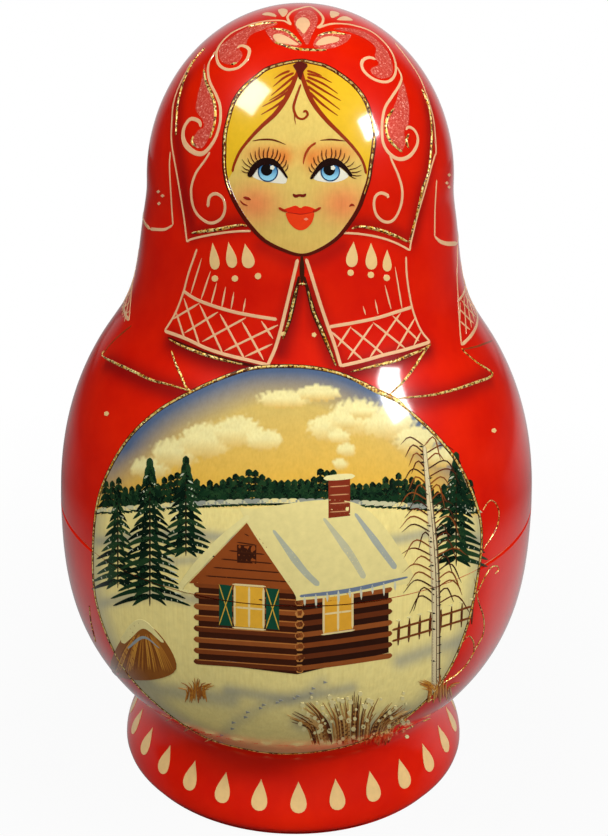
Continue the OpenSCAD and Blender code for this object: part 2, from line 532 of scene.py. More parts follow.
def stroke(name, points, width, colour=(1, 1, 1, 1), lift=0.1, plane="photo", bead=False, taper=(1, 1),
           closed=False, soft=True, step=1.6):
    step = step * detail["step"] * (1 if plane == "photo" else turnedStep)
    points = np.array(points, float)
    path = smoothPath(points, step, closed) if soft and len(points) > 2 else evenly(points, step * 2)
    place = placeOn(path, plane)
    normal = normalAt(place)
    if closed:
        along = np.roll(place, -1, axis=0) - np.roll(place, 1, axis=0)
    else:
        along = np.gradient(place, axis=0)
    along /= np.maximum(np.linalg.norm(along, axis=1, keepdims=True), 1e-9)
    side = np.cross(along, normal)
    widths = np.atleast_1d(np.asarray(width, float))
    half = np.interp(np.linspace(0, 1, len(place)), np.linspace(0, 1, len(widths)), widths) / 2
    if plane == "photo":
        half *= np.linalg.norm(place - eyePlace, axis=1) / pixelsPerSlope
    if not closed:
        run = np.r_[0, np.cumsum(np.linalg.norm(np.diff(place, axis=0), axis=1))]
        share = run / run[-1]
        half *= np.interp(share, taperStops, [taper[0], 1, 1, taper[1]])
        nearEnd = np.clip(np.minimum(run, run[-1] - run) / np.maximum(half, 1e-6), leastTip, 1)
        half *= np.sqrt(1 - (1 - nearEnd) ** 2)
    wide = half.max() * 2 > wideStroke
    section = np.array(beadSection if bead else wideSection if wide else flatSection)
    count, ring = len(place), len(section)
    height = -sinkDepth + section[:, 1] * (lift * detail["lift"] + sinkDepth)
    spread = (place[:, None] + side[:, None] * (section[:, 0] * half[:, None])[:, :, None]).reshape(-1, 3)
    verts = ontoSurface(spread) + normalAt(spread) * np.tile(height, count)[:, None]
    faces = []
    for i in range(count if closed else count - 1):
        here, after = i * ring, (i + 1) % count * ring
        for j in range(ring):
            k = (j + 1) % ring
            faces.append((here + j, here + k, after + k, after + j))
    if not closed:
        faces.append(tuple(range(ring - 1, -1, -1)))
        faces.append(tuple(range((count - 1) * ring, count * ring)))
    pour(name, verts, faces, colour)


def insideLoop(loop, points):
    hit = np.zeros(len(points), bool)
    for (ax, ay), (bx, by) in zip(loop, np.roll(loop, -1, axis=0)):
        straddles = (ay > points[:, 1]) != (by > points[:, 1])
        if ay != by:
            hit ^= straddles & (points[:, 0] < (bx - ax) * (points[:, 1] - ay) / (by - ay) + ax)
    return hit


def distanceTo(path, points, closed=False):    # least distance from each point to a run of points
    ends = np.roll(path, -1, axis=0) if closed else path[1:]
    starts = path if closed else path[:-1]
    best = np.full(len(points), 1e9)
    for a, b in zip(starts, ends):
        along = b - a
        share = np.clip((points - a) @ along / max(along @ along, 1e-12), 0, 1)
        best = np.minimum(best, np.linalg.norm(points - a - share[:, None] * along, axis=1))
    return best


def cornered(loop, step):    # a straight-sided loop with points along its sides
    loop = np.array(loop, float)
    sides = []
    for a, b in zip(loop, np.roll(loop, -1, axis=0)):
        count = max(1, int(np.hypot(*(b - a)) / step))
        sides.append(a + np.linspace(0, 1, count, endpoint=False)[:, None] * (b - a))
    return np.vstack(sides)


def fill(name, loop, colour, lift=0.06, plane="photo", soft=True, step=3.2, grid=True):
    step = step * detail["step"]
    gap = step * (1 if plane == "photo" else turnedStep)
    edge = smoothPath(loop, gap, True) if soft else cornered(loop, gap)
    flip = np.array([1, -1]) if plane == "photo" else np.array([1, 1])
    points = edge * flip
    inner = np.empty((0, 2))
    if grid:
        low, high = points.min(0), points.max(0)
        spots = []
        for i, y in enumerate(np.arange(low[1], high[1], gap * rowShare)):
            x = np.arange(low[0] + (i % 2) * gap / 2, high[0], gap)
            spots.append(np.column_stack([x, np.full(len(x), y)]))
        if spots:
            inner = np.vstack(spots)
            inner = inner[insideLoop(points, inner)]
            if len(inner):
                inner = inner[distanceTo(points, inner, True) > gap * edgeShare]
    spread = np.vstack([points, inner])
    made = delaunay_2d_cdt([tuple(p) for p in spread], [], [list(range(len(points)))], 1, 1e-5)
    flat = np.array([tuple(v) for v in made[0]]) * flip
    place = placeOn(flat, plane)
    normal = normalAt(place)
    tris = [tuple(f) for f in made[2]]
    used = dict.fromkeys((a, b) for f in tris for a, b in zip(f, f[1:] + f[:1]))
    size = len(flat)
    faces = tris + [tuple(i + size for i in reversed(f)) for f in tris]
    faces += [(a, a + size, b + size, b) for a, b in used if (b, a) not in used]
    tint = np.vstack([colour(flat)] * 2) if callable(colour) else colour
    both = np.vstack([place + normal * lift * detail["lift"], place - normal * sinkDepth])
    pour(name, both, faces, tint)


def disc(centre, radius, count=14):
    turn = np.linspace(0, 2 * math.pi, count, endpoint=False)
    wide, tall = radius if isinstance(radius, tuple) else (radius, radius)
    return np.column_stack([centre[0] + wide * np.cos(turn), centre[1] + tall * np.sin(turn)])


def dropLoop(tip, foot, width, count=22):    # pointed at the tip, round at the foot
    tip, foot = np.array(tip, float), np.array(foot, float)
    turn = np.linspace(0, 2 * math.pi, count, endpoint=False)
    swell = np.sin(turn) * np.abs(np.sin(turn / 2)) ** 1.5
    along = foot - tip
    aside = np.array([-along[1], along[0]]) / np.hypot(*along)
    return tip + np.outer((1 - np.cos(turn)) / 2, along) + np.outer(swell / swell.max() * width / 2, aside)


def allOver(colour, points):
    return np.tile(np.array(colour[:3]), (len(points), 1))


def mixTo(colours, share, other):
    return colours + share[:, None] * (np.array(other[:3]) - colours)


def glow(points, centre, size):    # soft round patch, 1 in its middle
    return np.exp(-(((points - np.array(centre)) / np.array(size)) ** 2).sum(axis=1))


# Kerchief over the head

kerchief = {
    "lineWidth": 3.0,
    "crown": [(291, 25), (287.5, 17), (293, 11), (301.5, 8), (310, 6.6), (317.6, 11), (323, 17.6),
              (322, 23.5), (317, 28)],
    "crownDrop": [(295.6, 23.5), (298.6, 19), (303.7, 17.6), (308, 19.8), (310.3, 24.2), (307.4, 29.3),
                  (303.7, 34), (300, 30), (296.8, 27)],
    "crownPetal": [(295, 16), (303, 10.3), (311.8, 11), (317.6, 17.6), (316.2, 26.4), (311.8, 35.2),
                   (307.4, 45.5), (303, 39), (297.8, 31.5), (294.4, 24.2)],
    "leaves": [
        [(265.5, 30), (275, 28), (286.8, 29.3), (294.2, 35.2), (301.5, 45.5), (292.7, 46.2), (276.5, 44),
         (270, 37.4)],
        [(313.2, 45.5), (319, 35.2), (330.8, 31.5), (342.6, 33.7), (351.4, 35.2), (345.5, 42.5),
         (333.8, 47.7), (322, 49)],
    ],
    "almonds": [
        [(273, 36), (278, 34), (285.3, 36), (292.7, 40.3), (298.6, 45.2), (285.3, 44), (276.5, 41.8)],
        [(315.4, 44.7), (320.6, 39), (329.4, 36.4), (339, 38), (337.4, 41.8), (328, 44), (320.6, 45.5)],
    ],
    "petals": [
        [(262, 14.7), (267.7, 12.5), (274.3, 14), (276.5, 17), (269.2, 16)],
        [(278, 10.3), (283, 8.8), (287.5, 10.3), (286.8, 14), (283, 17), (279.8, 14)],
        [(330, 11.7), (335.2, 11.7), (339.6, 14.7), (331.6, 18)],
        [(336.7, 19.8), (344, 16.4), (351.4, 19), (352, 20.8), (344, 20.5)],
    ],
    "scrolls": [
        [(291, 25), (284, 21), (272, 20.5), (260, 22), (249, 25), (234, 31.5), (224.5, 39), (218.6, 47),
         (216.4, 54), (218, 63), (223, 68), (229.6, 69.7), (238.4, 67.5), (246.5, 60), (249.4, 51),
         (246.5, 47), (241, 45.8), (237, 48.4)],
        [(215.7, 51), (209, 63), (208, 73), (210.5, 83.6), (215.7, 94), (220, 105.6), (220.5, 117),
         (219.8, 124), (216, 136.8), (209, 148), (202, 153.7), (193.5, 152), (185.8, 145), (183, 136.8),
         (184.4, 127), (190.7, 119), (199, 121.4), (201, 127)],
        [(210, 152), (204.7, 160.7), (196, 173), (191.4, 187.4), (192, 201.4), (196, 212.6), (204.7, 221),
         (213, 223), (221.6, 218), (225, 208.4), (223, 198.6), (216, 193.7), (209.6, 197), (207.8, 207)],
        [(317, 28), (330.8, 24), (345.5, 24), (360, 27), (372, 32), (382, 40), (391, 51), (395.4, 63),
         (395.4, 73), (391, 80), (383.6, 82), (373.4, 79), (364.6, 72), (361.6, 64.5), (363.8, 59.4),
         (369.7, 57.5), (375.6, 59.4)],
        [(396.6, 66.6), (401.5, 76.5), (399.4, 85), (392.4, 96), (385.4, 107), (382.6, 118.5), (382, 131),
         (383, 142.4), (388, 152), (396.6, 158.5), (405, 158.5), (412, 153.6), (417, 145), (417.6, 136.8),
         (414, 129.8), (408.5, 127), (405.7, 129.8)],
        [(389, 152), (392.4, 162), (398, 174.6), (402, 188.7), (401.5, 202.7), (397, 215), (391, 221.6),
         (382.6, 221), (376, 214), (374, 204), (375.6, 196.4), (381, 193), (388, 195.7), (387, 198)],
    ],
    "scrollWidths": [[2.6, 2.6, 3, 3.2, 3.6, 4.2, 4], [2.4, 3, 3.2, 3.4, 3.6, 5, 6.8, 5, 4],
                     [2.6, 3.4, 3.8, 3.6, 3.4, 4.4], [4, 2.6, 2.8, 3, 3.4, 4.2, 4],
                     [2.4, 3.2, 3.4, 3.4, 3.6, 4.2, 4.6, 3.8, 3.2], [2.6, 3.4, 3.8, 3.6, 3.4, 4]],
    "shimmers": [
        [(278, 23.5), (260, 23.5), (245.7, 28.6), (231, 38), (221.5, 45.5), (219, 52.8), (221.5, 61.6),
         (229.6, 64.5), (238.4, 61.6), (242.8, 54), (238.4, 48.4), (245.7, 45.5), (248, 38), (254.5, 33),
         (266, 28.6)],
        [(204.7, 64), (202, 79), (197.7, 96), (196, 110), (202, 118.6), (204, 127), (197.7, 131),
         (192, 144), (202, 148), (210, 135.4), (214.6, 124), (215, 110), (211.8, 96), (206, 82)],
        [(333.8, 29), (348.4, 28), (363, 31.5), (376, 39.6), (386.6, 51), (392.4, 64.5), (391.7, 74.8),
         (383.6, 78.5), (374.8, 76), (370.4, 69), (379, 64.5), (374.8, 57), (376, 48.4), (369, 41),
         (357, 35), (345.5, 31.5)],
        [(402, 80.7), (407.8, 99), (409, 113), (407.8, 125.6), (404, 129.8), (405, 143.8), (400.8, 150.8),
         (392.4, 143.8), (387.5, 132.6), (386.8, 122.7), (391, 111.5), (396.6, 100)],
    ],
    "borders": [
        [(192, 61), (183.7, 76.5), (176.7, 92), (173, 106), (171.8, 124), (171.8, 144), (178, 180.4),
         (183.7, 215.4), (187, 242)],
        [(187, 242), (192, 239), (213, 234.4), (234, 231.6), (251, 231)],
        [(170.4, 152), (169.6, 166), (171, 194.4), (173, 225)],
        [(395, 42.8), (409, 61), (420.4, 79), (428, 99), (433, 117), (435, 132.6), (436, 152),
         (434.5, 156.4), (430, 171.8), (424.6, 191.5), (417.6, 215), (411, 242), (410, 250.4)],
        [(410, 250.4), (396.6, 243.4), (381, 237.8), (360, 234), (339, 232.8)],
        [(436.6, 180), (435, 208), (434.5, 236.4)],
    ],
    "hems": [[(173, 225), (164, 229.5), (150, 229)],
             [(434.5, 236.4), (440, 241.4), (448, 243.8), (457, 243.4)]],
    "hemWidths": [[2.6, 3.6, 4], [2.8, 4.6, 5, 5]],
    "golds": [
        [(273, 28.6), (288, 32), (301.5, 44)],
        [(275, 42.5), (295, 48.5), (314.7, 50), (326.4, 50)],
        [(317.6, 36), (330, 32.5), (345.5, 34.5)],
        [(276.5, 22.7), (262, 23.5), (248.7, 27)],
        [(231, 64.5), (237, 63)],
        [(204, 70), (206, 82), (211.8, 94.7), (215, 107.4), (214.6, 122.8), (210, 138)],
        [(193.5, 136), (192, 142), (196, 146.7)],
        [(393.8, 108.7), (388, 117), (386, 127), (388, 136.8), (393.8, 145), (402, 152)],
        [(408.5, 134), (406.4, 141), (408.5, 148)],
        [(204.7, 48.4), (196, 58), (188, 71), (181.6, 87.7), (178, 103), (177, 113), (176, 135.4)],
        [(192, 233), (206, 231), (221.6, 228.8), (239.8, 225), (246.8, 226)],
        [(421.8, 89), (428, 104.5), (431, 120), (431.7, 138), (428.8, 170.4), (423, 187), (417.6, 211),
         (413.4, 226.5), (409, 242.7)],
        [(407.8, 242), (398, 237), (385.4, 232), (374, 228.6), (360, 226.5), (351.7, 228.6)],
    ],
    "dots": [(158.4, 191.6), (162.6, 195.8), (159, 203.5), (449, 175), (446.7, 183), (449, 187)],
}


def paintKerchief():
    cream = paintBox["cream"]
    for loop in kerchief["shimmers"] + kerchief["leaves"] + [kerchief["crownPetal"]]:
        fill("kerchief_shimmer", loop, cream, lift=0.05)
    for loop in kerchief["almonds"] + kerchief["petals"] + [kerchief["crownDrop"]]:
        fill("kerchief_scrolls", loop, cream, lift=0.1, step=2)
    stroke("kerchief_scrolls", kerchief["crown"], kerchief["lineWidth"], cream, lift=0.08)
    for line, widths in zip(kerchief["scrolls"], kerchief["scrollWidths"]):
        stroke("kerchief_scrolls", line, widths, cream, lift=0.08)
    for line in kerchief["borders"]:
        stroke("kerchief_scrolls", line, kerchief["lineWidth"] - 0.4, cream, lift=0.075)
    for spot in kerchief["dots"]:
        fill("kerchief_scrolls", disc(spot, 1.8, 8), cream, lift=0.1, grid=False)
    for line in kerchief["golds"]:
        stroke("gold_lines", line, 3.8, lift=0.3, bead=True, taper=(0.6, 0.6))


# Face and hair

face = {
    "outlineLeft": [(298, 61), (270.7, 67.4), (256.7, 76.5), (242.6, 89), (234, 101.8), (228.6, 118.6),
                    (225, 135.4), (224.4, 152), (224.4, 166), (226.5, 180.4), (231.4, 194.4), (239.8, 211),
                    (251, 226.7), (265, 240.7), (284.7, 250.5), (302, 255)],
    "outlineRight": [(302, 255), (318, 250.4), (336, 239), (349, 223.7), (358.7, 208), (364, 194),
                     (368.5, 180), (370.6, 166), (372.7, 152), (374, 136.8), (371, 118.5), (365.7, 101.7),
                     (356, 87.7), (343, 76.5), (326.5, 66.6), (311, 62.4), (298, 61)],
    "hairLeft": [(296, 76.5), (287.5, 96), (276, 113), (261, 127), (248, 141), (239.8, 152), (234.6, 163.5),
                 (232.4, 172)],
    "hairRight": [(304, 82), (312.4, 101.7), (325, 118.5), (339, 132.6), (350, 143.8), (359, 155),
                  (364, 165), (366, 174)],
    "goldWidths": [2, 3.4, 4.4, 4.2, 3, 2.4, 2.4, 2.8, 3.6, 4.4, 4.4, 3.2, 2],
    "partingWidths": [4, 5.6, 5.6, 5, 4, 3.4, 3],
    "rimWidths": [5.6, 6.2, 6.2, 5.4, 3.4, 5.4, 6.2, 6.2, 5.6],
    "hairEnd": 186,     # height in the picture down to which the hair follows the face's outline
    "goldEnd": 200,
    "parting": (300, 67),
    "lipShine": (306, 219),
    "blushes": [(255, 204), (343, 204)],
    "eyeShades": [((268, 154), (22, 9)), ((284, 158), (8, 9)), ((333, 153), (24, 9)),
                  ((312, 160), (9, 11))],
    "chinPaintedShade": (222, 32),    # start in the picture, and reach, of the painted shade that darkens the face towards the chin
    "partingShade": [(293, 65.5), (298, 63), (304, 63), (308, 65.5), (303.5, 72), (301, 80), (299.5, 80),
                     (296.5, 72)],
    "strandsLeft": [[(290, 71), (282, 74), (274, 79)], [(294, 73), (284, 78), (273, 87)],
                    [(295, 76), (283, 86), (271, 96)], [(295, 82), (282, 93), (269, 101)],
                    [(292, 89), (277, 99), (262, 107)], [(289, 96), (276, 106), (261, 115)]],
    "strandsRight": [[(307, 71), (314, 73), (322, 76)], [(307, 74), (320, 77), (332, 83)],
                     [(307, 77), (323, 84), (338, 94)], [(306, 80), (324, 91), (341, 101)],
                     [(307, 86), (324, 98), (340, 110)], [(309, 92), (323, 105), (338, 116)]],
    "curl": [(301, 84), (296, 98), (293.6, 108), (297, 117), (303, 119), (307.6, 115), (306, 111),
             (303, 112.4)],
    "curlTail": [(294.4, 111), (294.6, 118), (296, 125)],
    "browLeft": [(252.5, 141), (262, 139.6), (273.5, 140), (286, 144.6)],
    "browRight": [(320, 140.4), (332, 139.6), (346, 141.2)],
    "noseBridge": [(316, 142.6), (310, 147), (306, 153), (303.8, 160), (303.4, 164.5)],
    "nose": [(293, 193.8), (295.5, 196.2), (299.5, 195.2), (303.5, 195.8), (306.2, 193.8)],
    "upperLip": [(283.5, 210), (290.4, 207), (296, 205.5), (300.5, 208), (304, 206), (309.6, 206.8),
                 (316, 210), (308, 213.4), (300.5, 214), (292, 213.4)],
    "lowerLip": [(286, 212.4), (293, 213.4), (300.5, 214), (308, 213.4), (313.8, 211.8), (313.6, 217.5),
                 (310.8, 224), (306, 228.6), (301, 230.2), (295.4, 228.6), (290, 223.6), (287, 218)],
    "mouth": [(287, 212.4), (293, 213), (300.5, 214), (308, 213), (313, 212)],
    "mouthEnds": [[(278.6, 207.4), (281.6, 209.4), (287, 211.6)],
                  [(312.6, 212), (317, 209.8), (321, 207.4)]],
    "cheekMarks": [[(243.3, 197.2), (247, 198.2), (251, 199.6)], [(240, 200), (243, 203.6), (248, 205.6)],
                   [(349, 206.5), (352, 204.6), (354.5, 206)]],
}
eyes = [
    {"white": [(252.5, 176), (256, 170), (263, 166), (272, 165), (279, 168.5), (284, 173), (287, 178.6),
               (285.4, 183.2), (279, 183.4), (271, 182.4), (263, 181), (257, 179)],
     "lid": [(247.5, 175), (250.5, 168), (255, 162.5), (260.5, 159), (267, 157.8), (273.5, 159), (279, 163),
             (283.6, 169.4), (288, 177.4), (286.4, 178), (282.6, 173), (278.6, 168.4), (274, 165.8),
             (268, 164.6), (262.5, 165.6), (258, 168.6), (254.4, 173.4), (250.6, 177.4)],
     "iris": (268, 171.8), "irisRadius": 10.2, "pupil": (266.8, 170), "glint": (272.4, 167.6),
     "lashes": [((250, 173), (241.4, 170)), ((250.4, 170.6), (240.6, 165)), ((251.6, 168), (241.6, 158.6)),
                ((253, 165.6), (246.4, 156)), ((255, 163), (250.4, 152.5)), ((257.6, 161), (255, 149)),
                ((260.6, 159.6), (259.4, 146.6)), ((264, 158.8), (264.6, 146)),
                ((267.4, 158.6), (269.4, 146.6)), ((270.6, 158.8), (273.8, 147)),
                ((274, 160), (278, 148.4)), ((277, 162), (281.6, 150.4)), ((280, 164.8), (285, 153.6)),
                ((282.4, 168), (287.4, 158.4)), ((284.6, 171.4), (288.4, 164))],
     "specks": [(254, 178.8), (256.6, 180.8)]},
    {"white": [(313.6, 178.6), (318, 172.5), (324, 167.5), (331, 166), (338, 167), (344, 171),
               (348.6, 175.6), (344, 179.6), (336, 182), (326, 182.2), (318, 180.8)],
     "lid": [(310, 178.4), (314, 171), (318.4, 164.6), (324, 160), (331, 158), (338, 159.4), (344, 164),
             (349, 170), (352.4, 175.6), (349.6, 176.4), (344.6, 170.6), (339.4, 167), (333, 165),
             (326.6, 165.8), (321, 169.4), (316.4, 174.4), (312.4, 179)],
     "iris": (330.2, 171.6), "irisRadius": 9.9, "pupil": (329.2, 169.8), "glint": (332.8, 167.8),
     "lashes": [((313, 172.6), (308.8, 166.6)), ((315, 169.6), (310.6, 161.6)),
                ((317.6, 166), (313.4, 156.6)), ((320.4, 163.4), (317.4, 153)),
                ((323.6, 161), (321.8, 150)), ((327, 159.4), (326.4, 147.6)),
                ((330.6, 158.8), (331.2, 147)), ((334, 159), (336, 147.4)), ((337.4, 160), (340.8, 148.6)),
                ((340.6, 161.8), (345.4, 151.6)), ((343.6, 164.4), (350, 155)),
                ((346.2, 167), (356.4, 159.8)), ((348.4, 169.8), (361.6, 164.6)),
                ((350, 172.6), (363.4, 169.8)), ((351, 175), (362.4, 175)), ((350.4, 176.4), (358, 178.6))],
     "specks": [(346.5, 178.2), (342, 181.4)]},
]


def skinTint(points):
    tint = allOver(paintBox["skin"], points)
    for centre in face["blushes"]:
        tint = mixTo(tint, 0.8 * glow(points, centre, (25, 20)), paintBox["blush"])
    for centre, size in face["eyeShades"]:
        tint = mixTo(tint, 0.78 * glow(points, centre, size), paintBox["eyeShade"])
    # painted shade: the face darkens towards the chin
    start, reach = face["chinPaintedShade"]
    chin = np.clip((points[:, 1] - start) / reach, 0, 1)
    return mixTo(tint, 0.4 * chin, paintBox["chinPaintedShade"])


def hairTint(points):
    return mixTo(allOver(paintBox["hair"], points), 0.5 * glow(points, face["parting"], (26, 20)),
                 paintBox["hairShade"])


def irisTint(shape):    # dark above, pale below
    def tint(points):
        paler = np.clip((points[:, 1] - shape["iris"][1] + 4) / 10, 0, 1)
        return mixTo(allOver(paintBox["irisTop"], points), paler, paintBox["irisFoot"])
    return tint


def featureLine(line, width, colour, lift, **options):
    stroke("features", line, width, paintBox[colour], lift=lift, **options)


def featurePatch(loop, colour, lift, **options):
    fill("features", loop, paintBox[colour], lift=lift, **options)


lashReach = (1, 0.86, 0.96, 0.8)    # by turns along the lid
lashBend = 0.9


def paintEye(shape):
    featurePatch(shape["white"], "white", 0.1, step=2.2)
    featurePatch(disc(shape["iris"], shape["irisRadius"], 22), "irisRim", 0.13, step=2.2)
    fill("features", disc(shape["iris"], shape["irisRadius"] - 1.3, 20), irisTint(shape), lift=0.15, step=2)
    featurePatch(disc(shape["pupil"], 5.8), "black", 0.17, step=2.2)
    featurePatch(shape["lid"], "lid", 0.2, step=2)
    featurePatch(disc(shape["glint"], 2.5, 10), "white", 0.23, grid=False)
    for i, (root, tip) in enumerate(shape["lashes"]):
        root, tip = np.array(root), np.array(tip)
        tip = root + (tip - root) * lashReach[i % len(lashReach)]
        bend = (root + tip) / 2 + (lashBend * np.sign(root[0] - shape["iris"][0]), lashBend)
        featureLine([root, bend, tip], 1.2, "lash", 0.19, taper=(1.5, 0.3), step=2)
    for spot in shape["specks"]:
        featurePatch(disc(spot, 1.1, 8), "black", 0.17, grid=False)


def paintFace():
    rim = face["outlineLeft"] + face["outlineRight"][1:-1]
    fill("face", rim, skinTint, lift=0.06, step=3)
    for side, flip in (("Left", 1), ("Right", -1)):
        outer = [p for p in face["outline" + side][::flip] if p[1] < face["hairEnd"]]
        fill("hair", outer + face["hair" + side][::-1], hairTint, lift=0.1, step=3)
        featureLine([face["parting"]] + face["hair" + side], face["partingWidths"], "strand", 0.15)
        for line in face["strands" + side]:
            featureLine(line, [3.6, 3, 1], "strand", 0.14)
    featurePatch(face["partingShade"], "partingShade", 0.16, step=3)
    featureLine(face["curl"], [2, 3, 3.4, 3, 2.6, 3.4], "strand", 0.16)
    featureLine(face["curlTail"], 1.2, "strand", 0.155, taper=(1, 0.3))
    for shape in eyes:
        paintEye(shape)
    for brow in ("browLeft", "browRight"):
        featureLine(face[brow], 2.2, "brow", 0.14, taper=(0.4, 0.3))
    featureLine(face["noseBridge"], 2.8, "noseBridge", 0.14, taper=(0.9, 0.3))
    featureLine(face["nose"], [3.4, 4.2, 3, 3.8, 3.4], "nose", 0.14)
    featurePatch(face["upperLip"], "upperLip", 0.12, step=2.2)
    featurePatch(face["lowerLip"], "lowerLip", 0.13, step=2.2)
    featureLine(face["mouth"], 1.3, "mouth", 0.16, taper=(0.5, 0.5))
    for line in face["mouthEnds"]:
        featureLine(line, 3.4, "mouthEnds", 0.165, taper=(0.9, 0.9))
    featurePatch(disc(face["lipShine"], (2.6, 1.6), 10), "lipShine", 0.15, grid=False)
    for line, width in zip(face["cheekMarks"], (3.8, 2, 3)):
        featureLine(line, width, "cheekMarks", 0.14, taper=(0.6, 0.5))
    featureLine(rim, face["rimWidths"], "faceRim", 0.12, closed=True)
    start = next(i for i, p in enumerate(rim) if p[1] >= face["goldEnd"])
    after = start + sum(p[1] >= face["goldEnd"] for p in rim)
    stroke("gold_lines", rim[after:] + rim[:start], face["goldWidths"], lift=0.3, bead=True,
           taper=(0.6, 0.6))


# Collars of the shawl below the face

collars = {
    "strokes": [    # lines, width in pixels, height in mm, other settings
        ("edges", 4, 0.09, {}), ("sides", 2.8, 0.085, {}), ("rails", 4, 0.08, {}),
        ("lattice", 2.6, 0.075, {"soft": False, "step": 3}),
        ("fringe", 2.2, 0.075, {"soft": False, "step": 3, "taper": (1, 0.45)}),
    ],
    "edges": [
        [(297.7, 259), (287.5, 302), (277, 343), (267.6, 365.5)],
        [(164.7, 331), (186, 338.8), (206.6, 348.4), (227, 355), (247.7, 360), (267.6, 365)],
        [(306, 258.6), (311.5, 275.7), (319.7, 302), (328, 326.5), (334.8, 345.7), (341, 367)],
        [(341, 366), (363.6, 360.7), (384, 355), (404.7, 349.8), (430, 342)],
    ],
    "sides": [
        [(164.7, 331), (175, 314), (183, 293.6), (188.7, 273), (197, 249)],
        [(406, 256.5), (406.8, 275.7), (410, 297.7), (414, 314), (421, 330.6), (430, 342)],
    ],
    "rails": [
        [(183, 290.8), (195.6, 299), (213.4, 306), (234, 312), (254.5, 316), (277, 319.6)],
        [(329, 327), (352.6, 323), (377, 318), (396.5, 312), (412, 307)],
    ],
    "lattice": [
        [(184, 298.4), (199.7, 345.7)], [(176.4, 312.8), (184.6, 338.8)], [(199.7, 304.5), (223, 354)],
        [(220, 314), (245, 360)], [(242, 321.7), (263.5, 360)], [(261.4, 321), (273, 338.8)],
        [(172, 319.6), (199.7, 303)], [(184.6, 333), (218, 312)], [(202.4, 341.6), (246, 317.6)],
        [(224.4, 351), (278, 325)], [(245, 356.6), (272.4, 344)], [(330, 330.6), (363.6, 360.7)],
        [(351, 327.8), (385.5, 356)], [(373, 322.4), (406, 349)], [(392.4, 315.5), (419, 341)],
        [(337.5, 347), (351, 326.5)], [(347.8, 359.4), (373, 323.7)], [(369, 358.7), (400.6, 312.8)],
        [(396.5, 349.8), (415, 318)], [(413.6, 345.7), (421, 332)],
    ],
    "fringe": [
        [(190.8, 294), (201.8, 258)], [(201, 299.7), (210.7, 271)], [(211, 304.5), (216.8, 282.6)],
        [(221.6, 308), (225.7, 286.7)], [(231, 309), (234, 292)], [(243, 312), (245.6, 298.4)],
        [(365.6, 314.8), (363, 306)], [(378, 314), (375, 299.7)], [(391, 309), (384.8, 285)],
        [(402, 308.6), (395, 266.8)],
    ],
    "drops": [
        ((212.7, 242.8), (215.5, 269.6), 9.6), ((228.5, 242), (233, 267.8), 10.5),
        ((245, 243.5), (249.7, 268), 12.5), ((353.6, 241.5), (351, 267), 11.6),
        ((370.8, 242.8), (371.4, 269.6), 11.5), ((387, 249.7), (387, 271.6), 8.8),
    ],
    "dots": [(215, 278.5), (235, 278.5), (258, 276), (350.5, 272.7), (370.7, 274.8), (386.6, 277.8)],
    "golds": [
        [(351, 371.7), (366, 368), (382.8, 364), (397.8, 360), (410, 355), (424, 349), (430.7, 344)],
        [(169, 339), (178, 344), (187, 348), (207, 355.4), (227, 361), (243, 364.6)],
        [(298.4, 284), (306, 284)],
        [(297, 286.7), (288.8, 321), (283, 338.8)],
        [(308, 290.8), (314, 312.8), (321, 329), (329, 348.4), (336, 366)],
    ],
    "hemShade": [(168, 337.5), (187, 346.6), (207, 354.2), (227, 360), (247, 364.4), (263, 368)],
    "neckLines": [
        [(302, 256), (302, 270), (302, 284)],
        [(299, 276), (297, 287), (289, 321), (283, 339)],
        [(304, 276), (308, 291), (314, 313), (321, 329), (329, 348.4), (336, 366)],
    ],
}


def paintCollars():
    for lines, width, lift, options in collars["strokes"]:
        for line in collars[lines]:
            stroke("collar_lines", line, width, paintBox["cream"], lift=lift, **options)
    for tip, end, width in collars["drops"]:
        fill("drops", dropLoop(tip, end, width), paintBox["ivory"], lift=0.12, step=2.6)
    for spot in collars["dots"]:
        fill("drops", disc(spot, 3.3, 12), paintBox["ivory"], lift=0.12, step=2.6)
    for line in collars["golds"]:
        stroke("gold_lines", line, 3.4, lift=0.3, bead=True, taper=(0.5, 0.5))
    featureLine(collars["hemShade"], 4.6, "hemShade", 0.07, taper=(0.5, 0.5))
    for line in collars["neckLines"]:
        featureLine(line, 5.4, "darkBrown", 0.09, taper=(0.5, 0.4))


# Shawl: gold corners in front, panels with a lattice hem round the back

shawl = {
    "golds": [
        [(104.4, 351), (102, 355), (109, 360), (134, 371.7), (151.7, 380), (166.8, 384), (180.5, 388),
         (191.5, 391.6)],
        [(171.6, 351), (175, 362), (180.5, 374.5), (186, 386.8), (191.5, 391.6)],
        [(430.7, 344), (424, 352.5), (414, 367.6), (404.7, 380), (393.7, 391), (388, 395.7)],
        [(397.8, 398.5), (413, 397), (432, 395), (452.7, 390), (473, 383.4), (492.5, 374.5), (477.4, 362.8),
         (465, 352.5), (461.6, 348.4)],
    ],
    "dots": [(106.7, 413.7), (493.8, 430.5), (283, 334), (314, 334.7)],
    "cuffs": [    # darker cord below the panels, beside the gold
        [(103, 355), (109, 346), (119, 336), (131.6, 325.6)],
        [(462.4, 349.5), (476, 346.6), (492.4, 340.6)],
    ],
    # front edges of the back panel
    "edgeRight": [(457.6, 245), (456.9, 273), (458.2, 298), (459.4, 321), (461.4, 345)],
    "edgeLeft": [(135, 249), (133.6, 268), (132, 287), (130.4, 304), (129, 320.5)],
    "railShare": 0.56,      # way down the edge to the rail on top of the lattice
    "latticeStep": 6.0,     # degrees between the crossing lines
    "latticeLean": 10.0,    # degrees that a crossing line runs on from rail to hem
    "latticeOver": 6,       # degrees past the panel's edges where the lines start
    "fringe": (6, -4, 8),   # degrees inside the two edges, and between the threads
}


def roundBack(first, last, width):    # a line round the back between two places
    share = np.linspace(0, 1, 40)[:, None]
    stroke("back_lines", first + share * (last - first), width, paintBox["cream"], lift=0.085,
           plane="turned", step=4)


